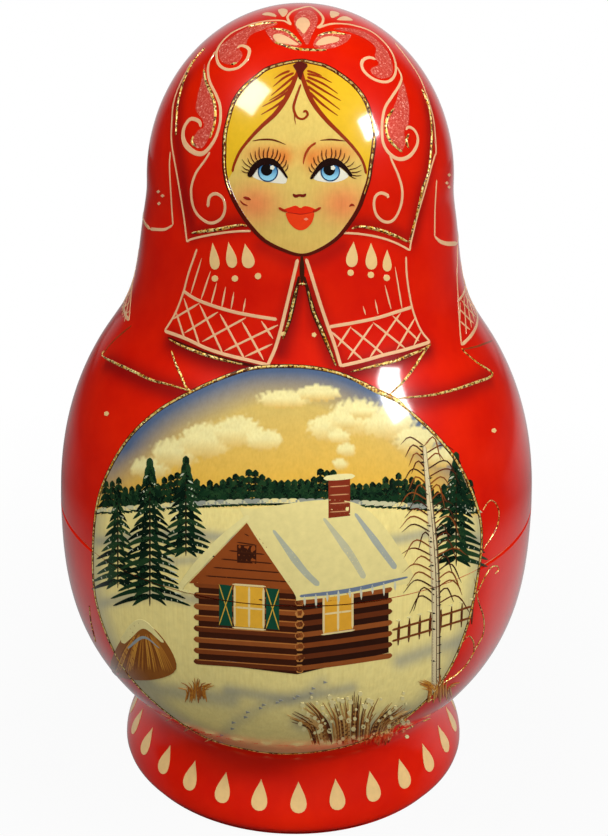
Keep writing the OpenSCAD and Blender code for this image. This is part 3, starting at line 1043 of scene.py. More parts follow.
def turnsOf(points):    # photo points as degrees round from the front and height
    place = photoPlace(points)
    return np.column_stack([np.degrees(np.arctan2(place[:, 0], -place[:, 1])) % 360, place[:, 2]])


def paintShawl():
    cream = paintBox["cream"]
    for line in shawl["golds"]:
        stroke("gold_lines", line, 3.2, lift=0.28, bead=True, taper=(0.5, 0.5))
    for spot in shawl["dots"]:
        fill("drops", disc(spot, 2.6, 10), paintBox["ivory"], lift=0.12, grid=False)
    for line in shawl["cuffs"]:
        featureLine(line, 2.4, "cuffs", 0.08, taper=(0.6, 0.6))
    right, left = (evenly(turnsOf(shawl[side]), 1) for side in ("edgeRight", "edgeLeft"))
    for edge in (right, left):
        stroke("back_lines", edge, 0.8, cream, lift=0.08, plane="turned", step=4)
    railRight, railLeft = (edge[int(shawl["railShare"] * len(edge))] for edge in (right, left))
    low = (right[-1, 1] + left[-1, 1]) / 2
    high = (railRight[1] + railLeft[1]) / 2
    roundBack(right[-1], left[-1], 1.2)
    roundBack(railRight, railLeft, 1.0)
    over, lean = shawl["latticeOver"], shawl["latticeLean"]
    for start in np.arange(right[-1, 0] - over, left[-1, 0] + over, shawl["latticeStep"]):
        for a, b in ((start, start + lean), (start + lean, start)):
            span = np.array([(a + (b - a) * t, low + (high - low) * t) for t in np.linspace(0, 1, 13)])
            starts, stops = (np.interp(span[:, 1], edge[::-1, 1], edge[::-1, 0]) for edge in (right, left))
            span = span[(span[:, 0] >= starts) & (span[:, 0] <= stops)]
            if len(span) > 2:
                stroke("back_lines", span[[0, -1]], 0.75, cream, lift=0.075, plane="turned", soft=False,
                       step=3)
    afterRight, beforeLeft, apart = shawl["fringe"]
    for turn in np.arange(right[0, 0] + afterRight, left[0, 0] + beforeLeft, apart):
        reach = 6 + 3 * math.sin(math.radians(turn * 9))
        stroke("back_lines", [(turn, high + 0.6), (turn, high + reach)], 0.5, cream, lift=0.075,
               plane="turned", soft=False, taper=(1, 0.4), step=3)
    for line, widths in zip(kerchief["hems"], kerchief["hemWidths"]):
        stroke("back_lines", line, widths, cream, lift=0.085)
    hemLeft, hemRight = (turnsOf([hem[-1]])[0] for hem in kerchief["hems"])
    roundBack(hemRight, hemLeft, 1.1)


# Foot: a ring of ivory drops

foot = {"count": 28, "turn": 2.0, "tip": 17.5, "end": 8.7, "width": 4.9, "middle": 12}    # degrees, mm


def paintFoot():
    perDegree = math.radians(1) * float(radiusAt(foot["middle"]))
    loop = dropLoop((0, foot["tip"]), (0, foot["end"]), foot["width"])
    for i in range(foot["count"]):
        middle = foot["turn"] + i * 360 / foot["count"]
        drop = np.column_stack([middle - loop[:, 0] / perDegree, loop[:, 1]])
        fill("foot_drops", drop[::-1], paintBox["ivory"], lift=0.12, plane="turned", soft=False)


# Round winter picture on the belly

picture = {
    "ring": [(300, 366.5), (333, 371.7), (360, 382), (388, 396), (410, 412), (437, 437), (460, 467),
             (477, 507), (481.5, 540), (476, 585), (466, 629), (447, 673), (420, 706), (384, 731),
             (342, 747), (290, 753.5), (246, 749), (199, 734), (150, 698), (119, 660), (99, 612), (93, 568),
             (96, 512), (107, 475), (129, 438), (158, 411), (192, 391.5), (227, 376), (258, 367.5)],
    "horizon": 508.0,
    "seed": 11,
    "woods": (106, 474, 6.5),    # from, to and apart, across the picture
    "banks": (104, 478, 9),
    "spruces": [((186, 556), 98), ((118, 588), 96), ((150, 606), 146), ((456, 566), 112)],
    "path": [(322, 682), (306, 694), (262, 706), (236, 722), (218, 742)],    # trodden from the porch
    "boldGold": [(350, 378), (371.8, 388.5), (388, 396), (399, 402), (412, 414)],
    "vines": [
        [(483, 510), (489, 501), (495, 502.5), (499, 513), (496.8, 527), (489, 540.7), (483, 550),
         (478.5, 563.7)],
        [(477, 592.8), (483, 580.5), (490.7, 568), (496.8, 566), (498.4, 570), (495, 573.6)],
        [(474, 577.5), (478, 599.4), (483.6, 618), (483, 634), (475, 649.6), (467, 663.7), (456, 674.7),
         (443.7, 682.5)],
        [(462.5, 641.7), (468.7, 636), (473.4, 641.7), (474, 651)],
        [(89.4, 605.7), (91, 622), (95.7, 641.8)],
        [(406, 717), (401, 725), (395, 732.7)],
    ],
    "vineDashes": [(431, 700), (426.4, 720), (410, 727.7), (389.6, 735.8), (169.4, 719.5), (188, 729.6),
                   (208.7, 740)],
}
ringLoop = smoothPath(picture["ring"], 3, True)
clouds = [    # lobes: middle, half width, half height
    (150, 468, 20, 11), (176, 453, 24, 15), (206, 441, 26, 18), (238, 432, 24, 16), (264, 440, 18, 11),
    (330, 428, 22, 14), (357, 418, 28, 19), (389, 424, 26, 17), (417, 440, 22, 14), (442, 457, 18, 10),
    (284, 399, 26, 9), (318, 393, 22, 8),
]
smoke = [(340, 464, 7, 6), (346, 450, 9, 7), (339, 436, 11, 8), (348, 421, 13, 9), (362, 411, 14, 8)]
snowShadows = [    # line, reach in pixels, strength
    ([(100, 541), (180, 533), (250, 541)], 6, 0.6), ([(390, 541), (440, 531), (478, 539)], 6, 0.55),
    ([(104, 603), (150, 593), (196, 600)], 6, 0.5), ([(400, 661), (436, 648), (468, 640)], 8, 0.55),
    ([(118, 664), (160, 690), (232, 700)], 9, 0.5), ([(300, 722), (352, 730), (404, 712)], 9, 0.5),
    ([(228, 690), (290, 700), (352, 688)], 6, 0.5), ([(140, 566), (190, 560), (214, 566)], 5, 0.45),
]
winter = {
    "skyLow": paint(240, 186, 62), "skyHigh": paint(216, 186, 100), "skyRim": paint(84, 104, 136),
    "cloud": paint(246, 234, 166), "cloudFoot": paint(222, 178, 82),
    "snow": paint(248, 230, 148), "snowShade": paint(118, 130, 142), "snowRim": paint(150, 150, 132),
    "trunk": paint(40, 28, 14), "boughSnow": paint(206, 208, 178), "drift": paint(238, 224, 152),
    "postSnow": paint(238, 224, 156), "post": paint(92, 44, 20), "fenceRail": paint(120, 62, 26),
    "footprint": paint(150, 150, 140), "hay": paint(150, 88, 30), "hayShade": paint(150, 158, 156),
    "bark": paint(222, 206, 160), "barkEdge": paint(110, 84, 56), "barkMark": paint(36, 26, 18),
    "flake": paint(236, 222, 160),
    "greens": [(12, 38, 22), (20, 52, 28), (8, 28, 16), (34, 64, 34)],
    "banks": [(236, 220, 150), (206, 202, 160), (150, 154, 140)],
    "straws": [(206, 144, 54), (128, 70, 24), (184, 120, 42)],
    "twigs": [(96, 38, 16), (70, 30, 16), (136, 70, 26)],
    "ochres": [(150, 92, 36), (110, 58, 24), (190, 136, 66), (84, 42, 18), (206, 160, 92)],
}


def pictureTint(points):
    x, y = points[:, 0], points[:, 1]
    rim = distanceTo(ringLoop, points, True)
    ground = picture["horizon"] + 6 - 12 * np.sin((x - 95) / 386 * math.pi) + 3 * np.sin(x / 31)
    rise = np.clip((ground - y) / 120, 0, 1)
    tint = allOver(winter["skyLow"], points)
    tint = mixTo(tint, np.clip(rise * 1.3, 0, 1), winter["skyHigh"])
    edge = np.clip(1.15 - rim / 34, 0, 1) * np.clip(rise * 2.2 - 0.1, 0, 1)
    tint = mixTo(tint, edge, winter["skyRim"])
    ragged = 0.09 * np.sin(x * 0.83 + 2 * np.sin(y * 0.31)) + 0.07 * np.sin(y * 0.9 + x * 0.37)
    for cx, cy, wide, tall in clouds + smoke:
        away = np.hypot((x - cx) / wide, (y - cy) / tall) + ragged
        body = np.clip((1.06 - away) / 0.16, 0, 1)
        sunny = mixTo(allOver(winter["cloud"], points), np.clip((y - cy) / tall * 0.8 + 0.1, 0, 1),
                      winter["cloudFoot"])
        tint = tint + (body * 0.95)[:, None] * (sunny - tint)
    snow = allOver(winter["snow"], points)
    for line, reach, share in snowShadows + [(picture["path"], 7, 0.3)]:
        away = distanceTo(np.array(line, float), points)
        snow = mixTo(snow, share * np.exp(-(away / reach) ** 2), winter["snowShade"])
    snow = mixTo(snow, 0.6 * np.clip(1 - rim / 14, 0, 1), winter["snowRim"])
    below = np.clip((y - ground) / 5 + 0.5, 0, 1)
    return tint + below[:, None] * (snow - tint)


layers = {"first": 0.09, "apart": 0.0004}    # mm: height of the first brush stroke, and of each one over it


def brush(points, width, colour, order, taper=(0.6, 0.4), **options):
    stroke("picture_strokes", points, width, colour, lift=layers["first"] + order * layers["apart"],
           taper=taper, **options)


def patch(loop, colour, order, soft=False):
    fill("picture_strokes", loop, colour, lift=layers["first"] + order * layers["apart"], soft=soft, step=5)


def paintSpruce(hand, base, height, order, snowy=True):
    x, y = base
    brush([(x, y), (x, y - height)], 3, winter["trunk"], order)
    rows = max(5, int(height / 7))
    for row in range(rows):
        share = row / (rows - 1)
        top = y - height + share * height * 0.94
        wide = 3 + share * height * 0.25
        for side in (-1, 1):
            for part in (0.45, 1):
                reach = wide * part * hand.uniform(0.85, 1.12)
                brush([(x, top - 2), (x + side * reach * 0.55, top + 2),
                       (x + side * reach, top + 4 + height * 0.03)],
                      [6.4, 5.4, 2], paint(*hand.choice(winter["greens"])), order + row + part,
                      taper=(1, 1), step=3)
        if snowy and row > 1:
            side = hand.choice((-1, 1))
            brush([(x + side * wide * 0.25, top + 1), (x + side * wide * 0.85, top + 4)], 2.8,
                  winter["boughSnow"], order + row + 2, step=3)


cabin = {
    "middle": (290, 596), "drawnAt": (290, 575), "scale": 1.2,
    "logs": [paint(134, 66, 26), paint(104, 48, 20), paint(150, 80, 34)],
    "front": paint(64, 28, 12), "side": paint(48, 22, 12), "logShine": paint(186, 116, 54),
    "logEnd": paint(196, 132, 66), "logHeart": paint(120, 66, 28),
    "gable": paint(150, 74, 28), "boards": paint(70, 32, 14), "loft": paint(60, 26, 12),
    "bars": paint(232, 210, 150), "shutter": paint(20, 74, 52), "brace": paint(214, 170, 60),
    "roof": paint(236, 220, 146), "eave": paint(112, 126, 146), "icicle": paint(206, 206, 178),
    "chimney": paint(132, 46, 24), "mortar": paint(206, 150, 100), "cap": paint(238, 226, 160),
    "windows": [
        {"pane": [(244, 566), (268, 568), (268, 602), (244, 600)], "glass": paint(234, 176, 52),
         "bars": [[(244, 566), (244, 600)], [(268, 568), (268, 602)], [(256, 567), (256, 601)],
                  [(244, 584), (268, 586)], [(242, 565), (270, 567)], [(242, 601), (270, 603)]],
         "shutters": [[(231, 565), (242, 566), (242, 600), (231, 599)],
                      [(270, 568), (281, 569), (281, 603), (270, 602)]]},
        {"pane": [(318, 574), (342, 571), (342, 602), (318, 606)], "glass": paint(228, 166, 48),
         "bars": [[(318, 574), (318, 606)], [(342, 571), (342, 602)], [(330, 572), (330, 604)],
                  [(318, 590), (342, 587)], [(316, 574), (344, 570)], [(316, 607), (344, 603)]],
         "shutters": []},
    ],
    "hollows": [    # in the snow on the roof: line, widths, colour
        ([(276, 520), (300, 552), (314, 566)], [3, 8, 6], paint(180, 182, 158)),
        ([(318, 510), (340, 540), (352, 560)], [3, 8, 6], paint(196, 192, 156)),
        ([(344, 506), (366, 536), (378, 552)], [3, 7, 6], paint(170, 174, 160)),
    ],
}


def paintCabin(order):
    def at(points):
        (toX, toY), (fromX, fromY), scale = cabin["middle"], cabin["drawnAt"], cabin["scale"]
        return [(toX + (x - fromX) * scale, toY + (y - fromY) * scale) for x, y in points]

    def lay(points, width, colour, rank, taper=(1, 1)):
        brush(at(points), np.array(width) * cabin["scale"], colour, order + rank, taper=taper)

    def cover(points, colour, rank, soft=False):
        patch(at(points), colour, order + rank, soft)

    cover([(214, 560), (296, 566), (296, 640), (214, 630)], cabin["front"], 0)
    cover([(296, 566), (372, 556), (372, 622), (296, 640)], cabin["side"], 0)
    for i in range(8):    # logs, and their ends at the corner
        y = 566 + i * 9.2
        lay([(210, y - 1), (255, y + 2), (299, y + 5)], 6.6, cabin["logs"][i % 3], 1 + i)
        lay([(212, y - 2.6), (255, y + 0.4), (297, y + 3.2)], 1.3, cabin["logShine"], 2 + i)
        lay([(296, y + 5), (335, y), (375, y - 6)], 6.2, cabin["logs"][(i + 1) % 3], 1 + i)
        cover(disc((298, y + 5), 4, 10), cabin["logEnd"], 10 + i * 0.1, True)
        cover(disc((298, y + 5), 1.8, 8), cabin["logHeart"], 11 + i * 0.1, True)
    cover([(206, 564), (254, 514), (300, 570)], cabin["gable"], 12)
    for i in range(6):
        lay([(220 + i * 6.4, 558 - i * 7), (288 - i * 6.4, 563 - i * 7.6)], 1.6, cabin["boards"], 13 + i)
    cover([(246, 532), (262, 533), (262, 548), (246, 547)], cabin["loft"], 19)
    for window in cabin["windows"]:
        cover(window["pane"], window["glass"], 20)
        for bar in window["bars"]:
            lay(bar, 2.4, cabin["bars"], 22)
        for shutter in window["shutters"]:
            cover(shutter, cabin["shutter"], 21)
            for corner in (0, 1):
                lay([shutter[corner], shutter[corner + 2]], 1.2, cabin["brace"], 23)
    cover([(250, 506), (262, 502), (346, 498), (392, 556), (380, 566), (302, 578), (292, 570)],
          cabin["roof"], 24, True)
    lay([(256, 508), (228, 534), (200, 566), (206, 572)], 9, winter["drift"], 26, (0.6, 0.4))
    lay([(298, 575), (340, 570), (388, 559)], 5, cabin["eave"], 27, (0.6, 0.4))
    for i in range(9):
        x = 302 + i * 9.4
        lay([(x, 575 - i * 1.6), (x + 0.4, 583 - i * 1.6 + 3 * (i % 2))], 2.6, cabin["icicle"], 28,
            (1, 0.2))
    for line, widths, colour in cabin["hollows"]:
        lay(line, widths, colour, 25)
    cover([(322, 478), (340, 477), (340, 508), (322, 510)], cabin["chimney"], 29)
    for i in range(4):
        lay([(323, 484 + i * 7), (339, 483 + i * 7)], 1.2, cabin["mortar"], 30)
    lay([(318, 477), (344, 475)], 6, cabin["cap"], 31, (0.7, 0.7))


def paintBirch(hand, root, top, width, order):
    middle = ((root[0] + top[0]) / 2 + 5, (root[1] + top[1]) / 2)
    brush([root, middle, top], width + 2, winter["barkEdge"], order, taper=(1, 0.4))
    brush([(root[0] - 1, root[1]), (middle[0] - 1, middle[1]), top], width, winter["bark"], order + 1,
          taper=(1, 0.4))
    trunk = smoothPath([root, middle, top], 4)
    for x, y in trunk[::2]:
        side = hand.choice((-1, 1))
        brush([(x + side * width * 0.5, y), (x + side * width * 0.05, y + 1)], 2.6, winter["barkMark"],
              order + 2, step=3)
    for x, y in trunk[int(len(trunk) * 0.35)::2]:
        for side in (-1, 1):
            reach = hand.uniform(14, 34)
            drop = hand.uniform(2, 22)
            brush([(x, y), (x + side * reach * 0.6, y - 9), (x + side * reach, y - 6 + drop)], 1.7,
                  paint(*hand.choice(winter["twigs"])), order + 1, taper=(1, 0.2), step=4)


def paintBush(hand, root, spread, height, order, count, colours):
    for i in range(count):
        lean = hand.uniform(-1, 1)
        reach = height * hand.uniform(0.55, 1) * (1 - 0.35 * abs(lean))
        start = (root[0] + lean * spread * 0.6, root[1] + hand.uniform(-4, 3))
        tip = (root[0] + lean * spread, root[1] - reach)
        bend = ((start[0] + tip[0]) / 2 - lean * 6, (start[1] + tip[1]) / 2 - 4)
        brush([start, bend, tip], 2, paint(*hand.choice(colours)), order + i * 0.2, taper=(1, 0.2), step=4)


def ridgeAt(x):    # how far the edge of the snow rises
    return 10 * math.sin((x - 95) / 123)


def paintPicture():
    hand = random.Random(picture["seed"])
    fill("picture_ground", picture["ring"], pictureTint, lift=0.05, step=2.6)
    order = 0    # rank of a stroke: later ones lie over earlier ones
    for x in np.arange(*picture["woods"]):    # far woods along the edge of the snow
        tall = 14 + 11 * math.sin(x / 23) ** 2 + hand.uniform(0, 8)
        paintSpruce(hand, (x, 512 - ridgeAt(x)), tall, order, False)
        order += 0.2
    for x in np.arange(*picture["banks"]):
        low, high = 513 - ridgeAt(x), 510 - ridgeAt(x)
        brush([(x - 9, low), (x, high), (x + 9, low)], 5, paint(*hand.choice(winter["banks"])),
              order + 8, step=4)
    order = 36
    for base, height in picture["spruces"]:
        paintSpruce(hand, base, height, order)
        order += 28
    paintCabin(order)
    order += 60
    for i in range(8):    # fence from the cabin to the right
        x = 398 + i * 10.5
        y = 634 - i * 3
        brush([(x, y + 11), (x + 1, y - 13)], 3.8, winter["post"], order + 2, taper=(1, 0.8), step=4)
        brush([(x - 2, y - 14), (x + 3, y - 14)], 3.4, winter["postSnow"], order + 4, step=3)
    for rise in (-7, 4):
        brush([(392, 637 + rise), (430, 626 + rise), (472, 613 + rise)], 3, winter["fenceRail"], order + 1,
              taper=(1, 1))
    order += 10
    for i, (x, y) in enumerate(smoothPath(picture["path"], 9)):
        patch(disc((x + 2.6 * (-1) ** i, y), (2.8, 1.5), 8), winter["footprint"], order, True)
    order += 6
    patch([(112, 672), (120, 642), (142, 622), (166, 642), (176, 670), (146, 680)], winter["hay"], order,
          True)
    for i in range(30):
        x = 114 + i * 2.05
        brush([(x, 673 - hand.uniform(0, 4)), (x + (144 - x) * 0.3, 652), (x + (144 - x) * 0.7, 634)], 2,
              paint(*hand.choice(winter["straws"])), order + 1 + i * 0.1, step=4)
    brush([(122, 642), (142, 624), (164, 642)], 12, winter["drift"], order + 5)
    brush([(128, 648), (144, 637), (160, 648)], 4, winter["hayShade"], order + 6)
    order += 10
    paintBirch(hand, (436, 692), (424, 446), 10, order)
    order += 8
    paintBush(hand, (352, 742), 66, 52, order, 120, winter["ochres"])
    paintBush(hand, (196, 700), 20, 24, order + 26, 24, [(196, 128, 40), (160, 92, 30)])
    paintBush(hand, (440, 700), 22, 30, order + 32, 30, [(206, 140, 50), (170, 98, 34)])
    for i in range(70):
        x, y = hand.uniform(300, 408), hand.uniform(692, 742)
        patch(disc((x, y), hand.uniform(1.2, 2.8), 6), winter["flake"], order + 42)


def paintRing():
    stroke("features", picture["ring"], 4.6, paintBox["darkBrown"], lift=0.14, closed=True, step=3)
    stroke("picture_gold", picture["ring"], 3.4, lift=0.3, bead=True, closed=True, step=3)
    stroke("picture_gold", picture["boldGold"], 6.6, lift=0.36, bead=True, taper=(0.3, 0.3))
    for line in picture["vines"]:
        stroke("picture_gold", line, 1.7, lift=0.2, bead=True, taper=(0.5, 0.5))
    for x, y in picture["vineDashes"]:
        stroke("picture_gold", [(x - 4, y + 1.5), (x, y), (x + 4, y - 2)], 1.8, lift=0.2, bead=True,
               taper=(0.4, 0.4))


# Burgundy blown along the folds of kerchief and shawl: line, reach in mm, strength
airbrushLines = [
    ([(184, 82), (178, 104), (177, 134), (181, 168), (187, 208), (193, 232)], 3.0, 0.62),
    ([(427, 100), (431, 128), (429, 165), (422, 196), (412, 238)], 3.0, 0.62),
    ([(196, 232), (222, 227), (246, 224)], 2.6, 0.55),
    ([(352, 226), (380, 228), (404, 238)], 2.6, 0.55),
    ([(172, 341), (206, 357), (247, 368), (264, 371)], 3.2, 0.8),
    ([(344, 373), (385, 363), (426, 349)], 3.2, 0.8),
    ([(108, 363), (150, 383), (190, 396)], 3.2, 0.7),
    ([(398, 402), (450, 395), (488, 378)], 3.2, 0.6),
    ([(298, 288), (288, 325), (280, 352)], 2.6, 0.7),
    ([(309, 290), (322, 330), (336, 364)], 2.6, 0.7),
    ([(262, 246), (302, 262), (342, 246)], 2.6, 0.4),
]


def airbrushAt(place):
    blown = np.zeros(len(place))
    front = place[:, 1] < 0
    for line, reach, strength in airbrushLines:
        path = photoPlace(smoothPath(line, 6))
        away = distanceTo(path, place[front])
        blown[front] = np.maximum(blown[front], strength * np.exp(-(away / reach) ** 2))
    return blown


def paintDoll(step):
    pots.clear()
    detail["step"] = step
    detail["lift"] = step ** 0.6
    for work in (paintKerchief, paintFace, paintCollars, paintShawl, paintFoot, paintPicture, paintRing):
        work()
    return {name: {"verts": np.vstack(pot["verts"]), "faces": pot["faces"],
                   "tints": np.vstack(pot["tints"])}
            for name, pot in pots.items()}


potFinish = {
    "kerchief_scrolls": creamPaint, "kerchief_shimmer": pinkShimmer, "gold_lines": goldGlitter,
    "face": woodPaint, "hair": brushPaint, "features": brushPaint, "collar_lines": creamPaint,
    "drops": creamPaint, "back_lines": creamPaint, "foot_drops": creamPaint,
    "picture_ground": woodPaint, "picture_strokes": brushPaint, "picture_gold": goldGlitter,
}


seamTrim = 0.05    # mm that paint stays clear of the seam


def halfOf(pot, above):    # the part of a pot's paint on one half of the doll, closed at the seam
    verts, faces, tints = pot["verts"], pot["faces"], pot["tints"]
    level = seamHigh + seamTrim if above else seamLow - seamTrim
    if (verts[:, 2] > level).all() or (verts[:, 2] < level).all():
        return pot if (verts[0, 2] > level) == above else None
    bm = bmesh.new()
    layer = bm.verts.layers.float_color.new("tint")
    made = [bm.verts.new(v) for v in verts.tolist()]
    for vert, tint in zip(made, tints.tolist()):
        vert[layer] = (*tint, 1)
    for f in faces:
        bm.faces.new([made[i] for i in f])
    cut = bmesh.ops.bisect_plane(bm, geom=allOf(bm), dist=1e-5, plane_co=(0, 0, level), plane_no=(0, 0, 1),
                                 clear_inner=above, clear_outer=not above)["geom_cut"]
    bmesh.ops.edgenet_fill(bm, edges=[e for e in cut if isinstance(e, bmesh.types.BMEdge)])
    bm.verts.index_update()
    half = {"verts": np.array([v.co[:] for v in bm.verts]),
            "faces": [tuple(v.index for v in f.verts) for f in bm.faces],
            "tints": np.array([v[layer][:3] for v in bm.verts])}
    bm.free()
    return half


# Pieces

sharpAngles = {"gold": 58, "flat": 32}    # degrees, past which an edge is drawn sharp


def linked(name, mesh):
    piece = bpy.data.objects.new(name, mesh)
    bpy.context.scene.collection.objects.link(piece)
    return piece


def paintPiece(name, parts, body, scale, stand):    # parts: pots with their finish, joined in one mesh
    mesh = bpy.data.meshes.new(name)
    verts, faces, tints, finishOf = [], [], [], []
    count = 0
    for number, (pot, finish) in enumerate(parts):
        verts.append(pot["verts"])
        tints.append(pot["tints"])
        faces.extend([tuple(i + count for i in f) for f in pot["faces"]])
        finishOf.extend([number] * len(pot["faces"]))
        count += len(pot["verts"])
        mesh.materials.append(finish)
    place = (np.vstack(verts) * scale + np.array([0, 0, stand])) * mm
    mesh.from_pydata(place.tolist(), [], faces)
    mesh.polygons.foreach_set("material_index", finishOf)
    mesh.polygons.foreach_set("use_smooth", [True] * len(faces))
    tint = mesh.attributes.new("tint", "FLOAT_COLOR", "POINT")
    opaque = np.column_stack([np.vstack(tints), np.ones(count)])
    tint.data.foreach_set("color", opaque.astype(np.float32).ravel())
    golden = any(finish is goldGlitter for pot, finish in parts)
    mesh.set_sharp_from_angle(angle=math.radians(sharpAngles["gold" if golden else "flat"]))
    mesh.update()
    piece = linked(name, mesh)
    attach(piece, body)


lathe = {
    "steps": {1: 208, 2: 160, 3: 144, 4: 128}, "fewSteps": 96,    # round the axis, by doll
    "spacing": 1.1, "wideSpacing": 2.2,      # mm along the section, first doll and others
    "paintedDepth": 0.9, "crownGuard": 1,    # mm on the largest doll, deeper is bare wood
}


def ownPlaces(values, scale, stand):    # places in the frame, as mm on the largest doll
    return (values.reshape(-1, 3) / mm - np.array([0, 0, stand])) / scale


def turnedPiece(name, node, body, scale, stand, steps, spacing):    # a shell turned from its CAD section
    section = smoothSection(straightened(sectionOf(node)), spacing * scale)
    count = len(section)
    mesh = bpy.data.meshes.new(name)
    mesh.from_pydata([(r * mm, 0, z * mm) for r, z in section], [(i, i + 1) for i in range(count - 1)], [])
    piece = linked(name, mesh)
    bpy.ops.object.select_all(action="DESELECT")
    piece.select_set(True)
    bpy.context.view_layer.objects.active = piece
    turning = piece.modifiers.new("turning", "SCREW")
    turning.angle = 2 * math.pi
    turning.steps = turning.render_steps = steps
    turning.use_merge_vertices = True
    turning.merge_threshold = tiny
    bpy.ops.object.modifier_apply(modifier="turning")
    bm = bmesh.new()
    bm.from_mesh(piece.data)
    bmesh.ops.remove_doubles(bm, verts=bm.verts, dist=tiny)
    bmesh.ops.dissolve_degenerate(bm, edges=bm.edges, dist=cutReach)
    bmesh.ops.recalc_face_normals(bm, faces=bm.faces)
    bm.to_mesh(piece.data)
    bm.free()
    mesh = piece.data
    mesh.materials.append(redLacquer)
    mesh.materials.append(lindenWood)
    place = np.zeros(len(mesh.vertices) * 3)
    mesh.vertices.foreach_get("co", place)
    middles = np.zeros(len(mesh.polygons) * 3)
    mesh.polygons.foreach_get("center", middles)
    middles = ownPlaces(middles, scale, stand)
    bare = radiusAt(middles[:, 2]) - np.hypot(middles[:, 0], middles[:, 1]) > lathe["paintedDepth"]
    bare &= middles[:, 2] < dollHeight - lathe["crownGuard"]
    mesh.polygons.foreach_set("material_index", bare.astype(int))
    blown = mesh.attributes.new("airbrush", "FLOAT", "POINT")
    blown.data.foreach_set("value", airbrushAt(ownPlaces(place, scale, stand)).astype(np.float32))
    bpy.ops.object.shade_smooth_by_angle(angle=math.radians(sharpAngles["flat"]))
    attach(piece, body)
    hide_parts(node)


detailSteps = {1: 1.0, 2: 2.2, 3: 2.2, 4: 2.2}    # coarser strokes on the small dolls
smallStep = 3.4
paintings = {}
for k in range(1, hollowDolls + 2):
    core = k > hollowDolls
    nodes = [dollName(k, "core")] if core else [dollName(k, "bottom"), dollName(k, "top")]
    low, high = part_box(nodes[0])[0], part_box(nodes[-1])[1]
    stand = low.z / mm
    scale = (high.z - low.z) / mm / dollHeight
    step = detailSteps.get(k, smallStep)
    if step not in paintings:
        whole = paintDoll(step)
        paintings[step] = {"core": whole}
        for part, above in (("bottom", False), ("top", True)):
            halves = {name: halfOf(pot, above) for name, pot in whole.items()}
            paintings[step][part] = {name: half for name, half in halves.items() if half}
    for node in nodes:
        part = node.split("_")[-1]
        turnedPiece(node + "_wood", node, node, scale, stand, lathe["steps"].get(k, lathe["fewSteps"]),
                    lathe["spacing" if k == 1 else "wideSpacing"])
        paints = paintings[step][part].items()
        if k == 1:
            for name, pot in paints:
                paintPiece(f"{node}_{name}", [(pot, potFinish[name])], node, scale, stand)
        else:
            paintPiece(node + "_paint", [(pot, potFinish[name]) for name, pot in paints], node, scale,
                       stand)
    print("doll", k, "painted, height", round(scale * dollHeight, 1), "mm")


# Floor, light and camera

studio = {
    "left": {"toward": (-0.52, -0.32, 0.8), "away": 1.1, "size": (0.32, 0.35), "power": 6.2},
    "right": {"toward": (0.73, -0.41, 0.56), "away": 1.1, "size": (0.22, 0.23), "power": 7.2},
    "fill": (0.07, 0.72),    # white of the room on matt surfaces, away from and toward its bright side
    "bright": (0.24, -0.76, 0.6),
    "mirror": 0.015,         # the room's faint mirror image in the lacquer
    "backdropLeft": 0.45,
    "backdropRight": 0.7,
    "floor": paint(150, 149, 147),
    "floorLeft": 0.08,    # the floor's mirror image in the lacquer, dimmer on the left
    "floorRight": 0.7,
    "floorWhiteInPaintedShade": 0.95,   # how white the camera sees the floor beside the doll: a painted grey shade round the foot with the real shadow kept in it; further off it is all white
    "floorRoughness": 0.6,
    "sides": (-0.5, 0.5),           # metres across, over which left turns into right
    "floorBeside": (0.16, 0.34),    # metres from the doll where its mirror image of the floor fades
    "floorFront": (-0.05, 0.01),
    "floorBehind": (0.08, 0.3),
    "floorAside": (0.18, 0.55, 1, 0.06),
    # metres from the doll over which the floor's painted grey shade fades to white
    "paintedShadeFade": (0.08, 0.3),
    "cardUp": (-1.5, -0.9, 1, 0.03),
    "cardAside": (0.22, 0.8, 1, 0.03),
    "aim": 0.6,                     # share of the doll's height that the lamps look at
}


def softbox(name, lamp, aim):
    data = bpy.data.lights.new(name, "AREA")
    data.shape = "RECTANGLE"
    data.size, data.size_y = lamp["size"]
    data.energy = lamp["power"]
    light = bpy.data.objects.new(name, data)
    back = np.array(lamp["toward"]) / np.linalg.norm(lamp["toward"])
    side = np.cross((0, 0, 1), back)
    side /= np.linalg.norm(side)
    light.location = aim + back * lamp["away"]
    light.rotation_euler = Matrix(np.column_stack([side, np.cross(back, side), back]).tolist()).to_euler()
    bpy.context.scene.collection.objects.link(light)


def stagePlane(name, size, location, rotation=(0, 0, 0)):
    bpy.ops.object.select_all(action="DESELECT")
    bpy.ops.mesh.primitive_plane_add(size=size, location=location, rotation=rotation)
    plane = bpy.context.active_object
    plane.name = name
    material = bpy.data.materials.new(name + "_white")
    material.use_nodes = True
    plane.data.materials.append(material)
    return material.node_tree


def between(tree, value, fromLow, fromHigh, toLow=0.0, toHigh=1.0):
    node = addNode(tree, "ShaderNodeMapRange")
    tree.links.new(value, node.inputs["Value"])
    for name, amount in (("From Min", fromLow), ("From Max", fromHigh), ("To Min", toLow),
                         ("To Max", toHigh)):
        node.inputs[name].default_value = amount
    return node.outputs["Result"]


def combine(tree, operation, first, second=0):
    node = addNode(tree, "ShaderNodeMath", operation=operation)
    feed(tree, first, node.inputs[0])
    feed(tree, second, node.inputs[1])
    return node.outputs[0]


def mixShaders(tree, share, first, second):
    node = addNode(tree, "ShaderNodeMixShader")
    for value, socket in zip((share, first, second), node.inputs):
        tree.links.new(value, socket)
    return node.outputs[0]


def placeIn(tree):    # place on a stage plane: across, along and away from its middle
    place = addNode(tree, "ShaderNodeTexCoord").outputs["Object"]
    parts = addNode(tree, "ShaderNodeSeparateXYZ")
    away = addNode(tree, "ShaderNodeVectorMath", operation="LENGTH")
    tree.links.new(place, parts.inputs[0])
    tree.links.new(place, away.inputs[0])
    return parts.outputs["X"], parts.outputs["Y"], away.outputs["Value"]


